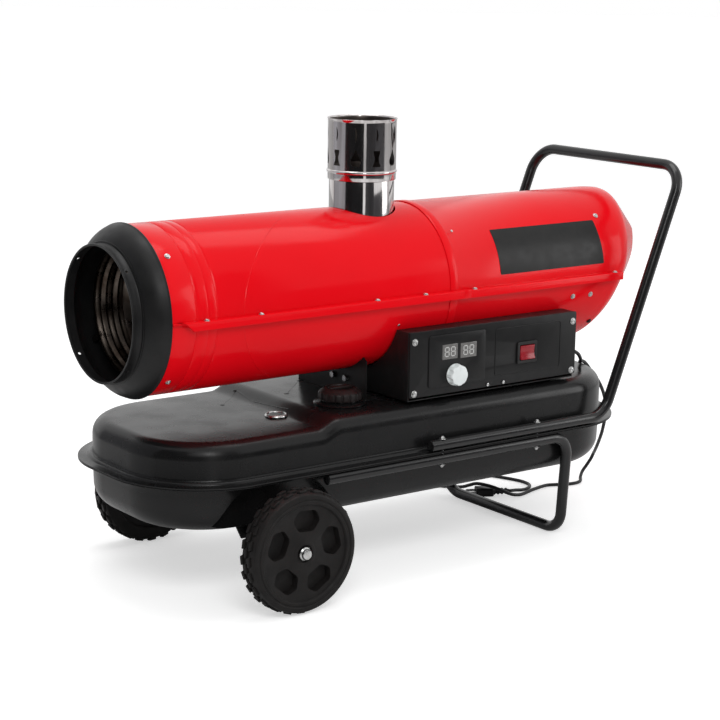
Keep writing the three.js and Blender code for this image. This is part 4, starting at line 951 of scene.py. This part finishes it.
def tank_lines():
    """Embossed lines and small dimples on the front of the tank top."""
    runs = [[(-277, 56), (-214, 112), (-225, 42), (-216, -51)], [(-173, 18), (-98, 90)]]
    beads = []
    for run in runs:
        points = [(x, y, 269.95 + plateau_rise(x)) for x, y in straight_runs(run)]
        beads.append(tube("tank_bead", points, 1.5, 3))
    dimples = []
    for x, y in (*runs[0][:2], *runs[1]):
        top = 271 + plateau_rise(x)
        profile = [(0, top + 0.5), (3.6, top + 0.45), (5.2, top - 0.4), (0, top - 0.4)]
        dimples.append(turned("tank_dimple", profile, "z", (x, y, 0), 28))
    settle(together("tank_top_dimples", dimples), SATIN)
    settle(together("tank_top_lines", beads), BLACK)


tank_lines()


# ---------------------------------------------------------------- handle, legs, clamp bolts

TUBE_R = 9.5
HANDLE_Y, HANDLE_Z = 193, 218.1
LEG_Y, LEG_Z = 192, 194.2
FOOT_Y, FOOT_Z = 157, 9.6


def bent_tube(name, half, bend, stands_for):
    """A round tube along the near half's corners and back along the far half's, its open ends inset."""
    corners = [(x, -y, z) for x, y, z in half] + half[::-1]
    end = half[0][0]
    piece = tube(name, bent_run(corners, bend), TUBE_R, 8)
    inset_faces(piece, lambda c, n: n.x < -0.95 and c.x < end + 10, (1.2, 0.6))
    settle(piece, TUBE, stands_for=[stands_for], angle=50)


def hexagon_screw(name, place, up, across=8, height=3.4):
    """A hexagon head on a washer, with the end of its thread. Up is 1 or -1."""
    r = across / 2 * 1.1
    end = height + 2
    head = [(0, 0.9), (r, 0.9), (r, height - 0.6), (r - 0.9, height), (0, height)]
    washer = [(0, 0.05), (r * 1.32, 0.05), (r * 1.36, 0.4), (r * 1.3, 0.9), (0, 0.9)]
    thread = [(0, height), (2.7, height), (2.7, height + 1.4), (1.8, end), (0, end)]
    pieces = [turned(name, [(radius, up * z) for radius, z in profile], "z", place, steps)
              for profile, steps in ((head, 6), (washer, 28), (thread, 20))]
    piece = together(name, pieces)
    soften(piece, 0.25)
    return piece


def clamp_bolts():
    """Four bolts through handle, flange and legs, near and far, the front pair first."""
    number = 0
    low, high = LEG_Z - TUBE_R, HANDLE_Z + TUBE_R
    for x in (-4, 205):
        for side in (-1, 1):
            number += 1
            y = side * HANDLE_Y
            top = hexagon_screw("bolt_top", (x, y, high), 1)
            foot = hexagon_screw("bolt_foot", (x, y, low), -1)
            shank = turned("bolt_shank", [(0, low), (2.9, low), (2.9, high), (0, high)], "z", (x, y, 0), 20)
            settle(together(f"flange_bolt_{number}", [top, foot, shank]), ZINC, stands_for=[f"clamp_bolt_{number}"])


bent_tube("push_handle", [(-29, HANDLE_Y, HANDLE_Z), (361, HANDLE_Y, HANDLE_Z), (532, HANDLE_Y, 650)], 48,
          "handle_tube")
bent_tube("leg_bow", [(-238, LEG_Y, LEG_Z), (279, LEG_Y, LEG_Z), (300, FOOT_Y, FOOT_Z)], 42, "leg_frame")
clamp_bolts()


# ---------------------------------------------------------------- wheels

def pocket_outline():
    """A pocket with six rounded corners, between the hub and the rim."""
    corners = [Vector(c) for c in ((-14, 35), (14, 35), (25.5, 52), (16.5, 69), (-16.5, 69), (-25.5, 52))]
    outline = []
    for i, corner in enumerate(corners):
        first, last = (corner.lerp(other, 5.5 / math.dist(corner, other))
                       for other in (corners[i - 1], corners[(i + 1) % 6]))
        outline += [(p.x + AXLE[0], p.y + AXLE[2]) for p in soft_corner(first, corner, last, 4)]
    return outline


def wheel(side):
    """A moulded black wheel with five rounded pockets and a blocky, staggered tread."""
    tag = side_name(side)
    outer = 252
    inner = 214
    profile = [(6.3, inner - 5), (16.4, inner - 5), (17, inner - 4.4), (17, inner + 7), (73, inner + 7),
               (74.5, inner + 1), (76, inner), (91, inner), (94, inner + 1), (96, inner + 4), (96, outer - 4),
               (94.6, outer - 1.4), (91.5, outer), (87.6, outer), (86.2, outer - 1.2), (84.8, outer - 1.2),
               (83.4, outer - 0.1), (79.6, outer - 0.1), (78, outer - 1.4), (77, outer - 3.8),
               (75.6, outer - 4.3), (22, outer - 4.3), (19.5, outer - 3.2), (16.6, outer - 2.4),
               (14.6, outer - 2.4), (13.8, outer - 3.2), (13.6, outer - 5.6), (6.3, outer - 5.6), (6.3, inner - 5)]
    body = turned("wheel_body", [(r, side * y) for r, y in profile], "y", AXLE, 120)
    pocket = pressed_sheet("pocket_cutter", pocket_outline(), "y", side * (outer - 19), side * (outer + 6))
    pockets = copies_round(pocket, [side * (72 * k - 4) for k in range(5)], "Y", AXLE)
    cut_away(body, [together("pockets", pockets)])
    soften(body, 0.8, 2, 50)
    lug = pressed_sheet("lug", [(-9.2, inner + 4.4), (5.6, inner + 1.4), (9.2, inner + 7.4), (-5.6, inner + 10.4)],
                        "z", 194.4, 199.7)
    shift_points(lug, lambda p: (p.x * -0.09, (p.y - inner - 6) * -0.09, 0) if p.z > 198 else (0, 0, 0))
    if side < 0:
        lug.data.transform(Matrix.Scale(-1, 4, (0, 1, 0)))
    lug.data.transform(Matrix.Translation(spot(AXLE[0], 0, 0)))
    outward(lug)
    soften(lug, 0.8)
    places = [(row, k) for row in range(3) for k in range(24)]
    lugs = copies_round(lug, [15 * (k + row / 2) for row, k in places], "Y", AXLE)
    for twin, (row, k) in zip(lugs, places):
        twin.data.transform(Matrix.Translation(mm(0, side * 9.4 * row, 0)))
    settle(together(f"road_wheel_{tag}", [body, *lugs]), RUBBER, f"wheel_{tag}", [f"wheel_{tag}"], 32)
    cap = turned("cap", [(0, side * 249.4), (10.6, side * 249.4), (10.6, side * 250.6), (9.4, side * 251.6),
                         (8.6, side * 252.4), (8.6, side * 255), (7.6, side * 256.6), (5, side * 257.2),
                         (0, side * 257.3)], "y", AXLE, 48)
    settle(together(f"wheel_push_cap_{tag}", [cap]), ZINC, stands_for=[f"push_cap_{tag}"])


for side in (-1, 1):
    wheel(side)


# ---------------------------------------------------------------- filler cap and gauge

FILLER = (-137, -86, 0)
GAUGE = (-245, -57, 0)


def filler_cap():
    base = 293.3
    profile = [(0, base), (35.4, base), (36.4, base + 1), (36.4, base + 10.4), (35.4, base + 12.2), (32, base + 14.4),
               (28.6, base + 17.2), (26.4, base + 18.6), (24, base + 19), (22.6, base + 18.2), (22, base + 16.4),
               (21, base + 15.6), (0, base + 15.6)]
    cap = turned("cap_dome", profile, "z", FILLER, 96)
    cutters = []
    for k in range(18):
        angle = 2 * math.pi * k / 18
        place = spot(FILLER[0] + 38 * math.cos(angle), FILLER[1] + 38 * math.sin(angle), base + 6)
        cutters.append(rod(3.6, 30, place, sides=24))
    cut_away(cap, [together("cap_scallops", cutters)])
    grip = block("cap_grip", (-159.5, -90.5, base + 15), (-114.5, -81.5, base + 21))
    soften(grip, 2, 3)
    soften(cap, 0.5, 2, 40)
    settle(together("fuel_filler_cap", [cap, grip]), CAP, "fuel_cap", ["filler_cap"])
    neck = turned("neck_flange", [(21, 263), (23.5, 263), (23.5, 285.3), (42.6, 285.3), (44, 286), (44, 287.4),
                                  (42, 288.6), (33, 290), (31.4, 291), (31, 292.8), (21, 293), (21, 263)],
                  "z", FILLER, 80)
    settle(together("filler_neck_flange", [neck]), BLACK, stands_for=["filler_neck"])


def fuel_gauge():
    ring = turned("gauge_ring", [(14.6, 272), (17.4, 271.4), (18.6, 271.6), (18.9, 272.6), (18.3, 274.2), (17, 275.4),
                                 (15.8, 275.4), (15, 274.4), (14.6, 272)], "z", GAUGE, 72)
    settle(together("gauge_bezel", [ring]), ZINC)
    face = turned("gauge_face", [(0, 257), (11, 257), (11, 270), (14.8, 271.4), (14.8, 273.8), (12, 274.2),
                                 (4, 274.5), (0, 274.5)], "z", GAUGE, 56)
    float_rod = turned("float_rod", [(0, 146), (3, 146), (3, 258), (0, 258)], "z", GAUGE, 20)
    settle(together("gauge_float", [face, float_rod]), PLATE, stands_for=["fuel_gauge"])


filler_cap()
fuel_gauge()


# ---------------------------------------------------------------- console

PANEL_Y = -164
KNOB_X, KNOB_Z = 42, 327


def on_panel(outline, lift, depth, name):
    """A thin plate in front of the panel, its outline in X and Z."""
    return pressed_sheet(name, outline, "y", PANEL_Y - lift, PANEL_Y - lift + depth)


def front_panel():
    sheet = on_panel(rounded_outline(-53, 315, 296, 407, 4), 0, 2, "panel_sheet")
    raised = on_panel(rounded_outline(-14, 108, 309, 397, 5), 1.6, 1.9, "panel_raised")
    for plate in (sheet, raised):
        cutters = [
            block("cut", (14, PANEL_Y - 6, 354), (47, PANEL_Y + 6, 380)),
            block("cut", (53, PANEL_Y - 6, 353), (88, PANEL_Y + 6, 379)),
        ]
        if plate is sheet:
            cutters.append(block("cut", (182.2, PANEL_Y - 6, 331.2), (219.8, PANEL_Y + 6, 362.8)))
        cutters.append(rod(5.5, 20, spot(KNOB_X, PANEL_Y, KNOB_Z), ALONG_Y))
        cut_away(plate, cutters)
        soften(plate, 0.5)
    corner_line = rounded_outline(131, 278, 313, 394, 5)
    line = [(u, PANEL_Y - 0.1, v) for u, v in corner_line + corner_line[:1]]
    panel = together("console_front", [sheet, raised, tube("panel_bead", line, 0.7, 3)])
    settle(panel, SATIN, stands_for=["front_panel"])


def console_tray():
    """The folded tray: floor, walls, and a level top strip on each side of the barrel."""
    x0, x1 = -54, 312
    outer = block("tray", (x0, PANEL_Y + 2.4, 290), (x1, 150, 406.6))
    room = block("tray_room", (x0 + 2, PANEL_Y - 6, 292), (x1 - 2, 148, 404.6))
    cut_away(outer, [room, rod(139.1, 500, spot(130, 0, AXIS_Z), ALONG_X, 128)])
    bisect(outer, [(0, -150, 0)], (0, 1, 0))
    soften(outer, 1.2, 3)
    feet = []
    for x in (-44, 272):
        for y in (-120, 90):
            foot = block("tray_foot", (x, y, 285.3), (x + 30, y + 30, 290.4))
            soften(foot, 0.8)
            feet.append(foot)
    settle(together("console_tray", [outer, *feet]), SATIN, stands_for=["control_tray"])


# The seven bars of a digit: their column, their row, and whether they lie flat.
DIGIT_BARS = ((0, 2, True), (1, 1, False), (1, 0, False), (0, 0, True), (0, 0, False), (0, 1, False), (0, 1, True))


def display(name, x0, x1, z0, z1, node):
    """A window with two seven bar digits, all bars lit."""
    glass = block("window", (x0 + 0.3, PANEL_Y - 2.1, z0 + 0.3), (x1 - 0.3, PANEL_Y + 3, z1 - 0.3))
    soften(glass, 0.5)
    inset_faces(glass, lambda c, n: n.y < -0.98, (1.2, 0), (0.4, -0.4))
    settle(together(name, [glass]), DISPLAY, stands_for=[node])
    bars = []
    wide, high, thick = 8.2, 15, 1.9
    low = (z0 + z1) / 2 - high / 2
    for offset in (-10.6, 2.4):
        left = (x0 + x1) / 2 + offset
        for column, row, flat in DIGIT_BARS:
            if flat:
                corner = (left + 0.8, low + row * high / 2 - thick / 2)
                size = (wide - 1.6, thick)
            else:
                corner = (left + column * wide - thick / 2, low + row * high / 2 + 0.8)
                size = (thick, high / 2 - 1.6)
            bars.append(block("bar", (corner[0], PANEL_Y - 2.25, corner[1]),
                              (corner[0] + size[0], PANEL_Y - 1.6, corner[1] + size[1])))
    digits_piece = together(name + "_digits", bars)
    soften(digits_piece, 0.12, 1)
    settle(digits_piece, DIGIT)


def thermostat_knob():
    y0 = PANEL_Y - 1.9
    body = turned("knob_body", [(0, y0 - 14.4), (14.4, y0 - 14.4), (16.4, y0 - 13.8), (17.6, y0 - 12.2),
                                (18.4, y0 - 4), (18.6, y0 - 0.6), (18.2, y0), (0, y0)], "y", (KNOB_X, 0, KNOB_Z), 96)
    cutters = []
    for k in range(8):
        angle = math.pi * (k + 0.5) / 4
        place = spot(KNOB_X + 22.6 * math.cos(angle), y0 - 8.8, KNOB_Z + 22.6 * math.sin(angle))
        cutters.append(rod(6.8, 14, place, ALONG_Y))
    cutters.append(block("pointer_cut", (41.2, y0 - 16, 332), (42.8, y0 - 13.9, 342)))
    cut_away(body, [together("knob_cuts", cutters)])
    soften(body, 0.9, 3, 30)
    settle(together("setting_knob", [body]), PALE, "knob", ["thermostat_knob"])


def mains_switch():
    bezel = on_panel(rounded_outline(179, 223, 328, 366, 3), 2.4, 2.1, "switch_frame")
    cut_away(bezel, [block("cut", (184.6, PANEL_Y - 8, 333.6), (217.4, PANEL_Y + 6, 360.4))])
    inset_faces(bezel, lambda c, n: n.y < -0.98, (0.8, 0.6))
    sleeve = block("switch_sleeve", (182.4, PANEL_Y - 1, 331.4), (219.6, PANEL_Y + 22, 362.6))
    cut_away(sleeve, [block("cut", (184.6, PANEL_Y - 8, 333.6), (217.4, PANEL_Y + 14, 360.4))])
    bezel = together("switch_surround", [bezel, sleeve])
    soften(bezel, 0.4)
    settle(bezel, MOULDED, stands_for=["switch_bezel"])
    y0 = PANEL_Y
    side = [(y0 - 6.5, 335), (y0 - 5.6, 338), (y0 - 3.8, 343), (y0 - 3.2, 347), (y0 - 3.4, 351), (y0 - 4.5, 359),
            (y0 + 1, 359.4), (y0 + 8, 350), (y0 + 8, 344), (y0 + 1, 334.6)]
    rocker = pressed_sheet("rocker", side, "x", 185.2, 216.8)
    soften(rocker, 1.1, 3, 30)
    settle(together("switch_button", [rocker]), ROCKER, "rocker", ["switch_rocker"])


def console_screws():
    out = Vector((0, -1, 0))
    spots = [(-43, 390), (-43, 303), (306.5, 390), (306.5, 303), (115, 300), (150, 300)]
    for k, (x, z) in enumerate(spots):
        radius, height = (3, 1.8) if k > 3 else (4.4, 2.6)
        screw(f"panel_screw_{k + 1}", spot(x, PANEL_Y - 0.1, z), out, radius, height, washer=k < 4)


front_panel()
console_tray()
display("display_window_left", 14, 47, 354, 380, "display_left")
display("display_window_right", 53, 88, 353, 379, "display_right")
thermostat_knob()
mains_switch()
console_screws()


# ---------------------------------------------------------------- bare plate on the rear shell

def bare_plate():
    """The black plate on the rear shell, drawn flat with degrees as heights and then wrapped round."""
    outline = rounded_outline(163, 403, 8.1, 42.4, 1.6, 3)
    plate = pressed_sheet("bare_plate", outline, "y", 0, 0.35)
    bisect(plate, [(0, 0, angle) for angle in range(10, 42, 2)], (0, 0, 1))

    def wrap(p):
        radius = BARREL_R + 0.45 - p.y
        angle = math.radians(p.z)
        return (0, -radius * math.cos(angle) - p.y, AXIS_Z + radius * math.sin(angle) - p.z)

    shift_points(plate, wrap)
    outward(plate)
    settle(together("rating_plate_bare", [plate]), PLATE)


bare_plate()

lead, lead_length = mains_lead()
plug_pieces = mains_plug()
cord_gland()


# ---------------------------------------------------------------- pieces carried over

refinish(["front_saddle", "intake_guard"], SATIN)
refinish(["axle_bracket_near", "axle_bracket_far"], BLACK)
refinish(["axle", "drain_plug", "motor_bracket", "saddle_bolt_1", "saddle_bolt_2"], ZINC)
refinish(["fan_motor", "ignition_transformer"], CAST)
refinish(["fan", "fuel_pump"], ALUMINIUM)
refinish(["oil_nozzle", "fuel_filter", "pickup_pipe"], BRASS)
refinish(["fuel_hose"], CORD)
refinish(["control_board"], BOARD)


# ---------------------------------------------------------------- studio

def studio_floor():
    """A wide pale floor, white where the camera sees it unshaded."""
    put_down()
    bpy.ops.mesh.primitive_plane_add(size=160, location=(0, 0, 0))
    floor = bpy.context.object
    floor.name = "studio_floor"
    finish = Finish("studio_floor_white", (0.86, 0.86, 0.86), 0.7)
    path = finish.nodes.new("ShaderNodeLightPath")
    seen = finish.nodes.new("ShaderNodeMath")
    seen.operation = "MULTIPLY"
    seen.inputs[1].default_value = 0.5
    finish.links.new(path.outputs["Is Camera Ray"], seen.inputs[0])
    finish.links.new(seen.outputs["Value"], finish.shader.inputs["Emission Strength"])
    finish.set(Emission_Color=(1, 1, 1, 1), Specular_IOR_Level=0.1)
    floor.data.materials.append(finish.material)


def lamp(name, place, aim, size, power):
    put_down()
    direction = Vector(aim) - Vector(place)
    bpy.ops.object.light_add(type="AREA", location=place, rotation=direction.to_track_quat("-Z", "Y").to_euler())
    light = bpy.context.object
    light.name = name
    light.data.shape = "RECTANGLE"
    light.data.size, light.data.size_y = size
    light.data.energy = power


CURTAIN_DISTANCE = 2.1


def curtain(name, first, last, high, grey):
    """An upright card from the floor, part of a circle round the heater. It shows only in reflections.

    Angles in degrees are counted from the camera's side, to the right as the camera sees it."""
    steps = max(2, round((last - first) / 6))
    points = []
    for k in range(steps + 1):
        angle = math.radians(-36.6 + first + (last - first) * k / steps)
        points.append(Vector((math.sin(angle), -math.cos(angle), 0)) * CURTAIN_DISTANCE)
    card = start_point(name, points[0])
    draw_line(points)
    bpy.ops.mesh.select_all(action="SELECT")
    bpy.ops.mesh.extrude_region_move(TRANSFORM_OT_translate={"value": (0, 0, high)})
    put_down()
    finish = Finish(name + "_cloth", (grey, grey, grey * 1.06), 0.95)
    finish.set(Specular_IOR_Level=0.0)
    card.data.materials.append(finish.material)
    card.visible_camera = False
    card.visible_shadow = False
    card.visible_diffuse = False


def studio_world():
    world = bpy.data.worlds.new("studio")
    world.use_nodes = True
    nodes, links = world.node_tree.nodes, world.node_tree.links
    background = nodes["Background"]
    background.inputs["Color"].default_value = (1, 1, 1, 1)
    path = nodes.new("ShaderNodeLightPath")
    seen = nodes.new("ShaderNodeMath")
    seen.operation = "MAXIMUM"
    links.new(path.outputs["Is Camera Ray"], seen.inputs[0])
    links.new(path.outputs["Is Glossy Ray"], seen.inputs[1])
    through = nodes.new("ShaderNodeMath")
    through.operation = "MAXIMUM"
    links.new(seen.outputs["Value"], through.inputs[0])
    links.new(path.outputs["Is Transmission Ray"], through.inputs[1])
    level = nodes.new("ShaderNodeMapRange")
    level.inputs["To Min"].default_value = 0.55
    level.inputs["To Max"].default_value = 1.0
    links.new(through.outputs["Value"], level.inputs["Value"])
    links.new(level.outputs["Result"], background.inputs["Strength"])
    bpy.context.scene.world = world


def set_studio():
    bpy.context.scene.view_settings.view_transform = "Standard"
    studio_floor()
    studio_world()
    curtain("curtain_far_left", -112, -58, 2.6, 0.46)
    curtain("curtain_left", -58, 5, 2.6, 0.02)
    curtain("curtain_right", 13, 44, 2.6, 0.06)
    curtain("curtain_far_right", 44, 80, 1.0, 0.10)
    lamp("key_softbox", (-1.6, -2.6, 2.6), (0, 0, 0.4), (1.6, 1.2), 44)
    lamp("fill_softbox", (2.6, -2.0, 1.2), (0.1, 0, 0.4), (1.2, 1.6), 17)
    lamp("top_softbox", (0.1, 0.3, 3.0), (0, 0, 0.4), (2.4, 1.2), 24)


set_studio()
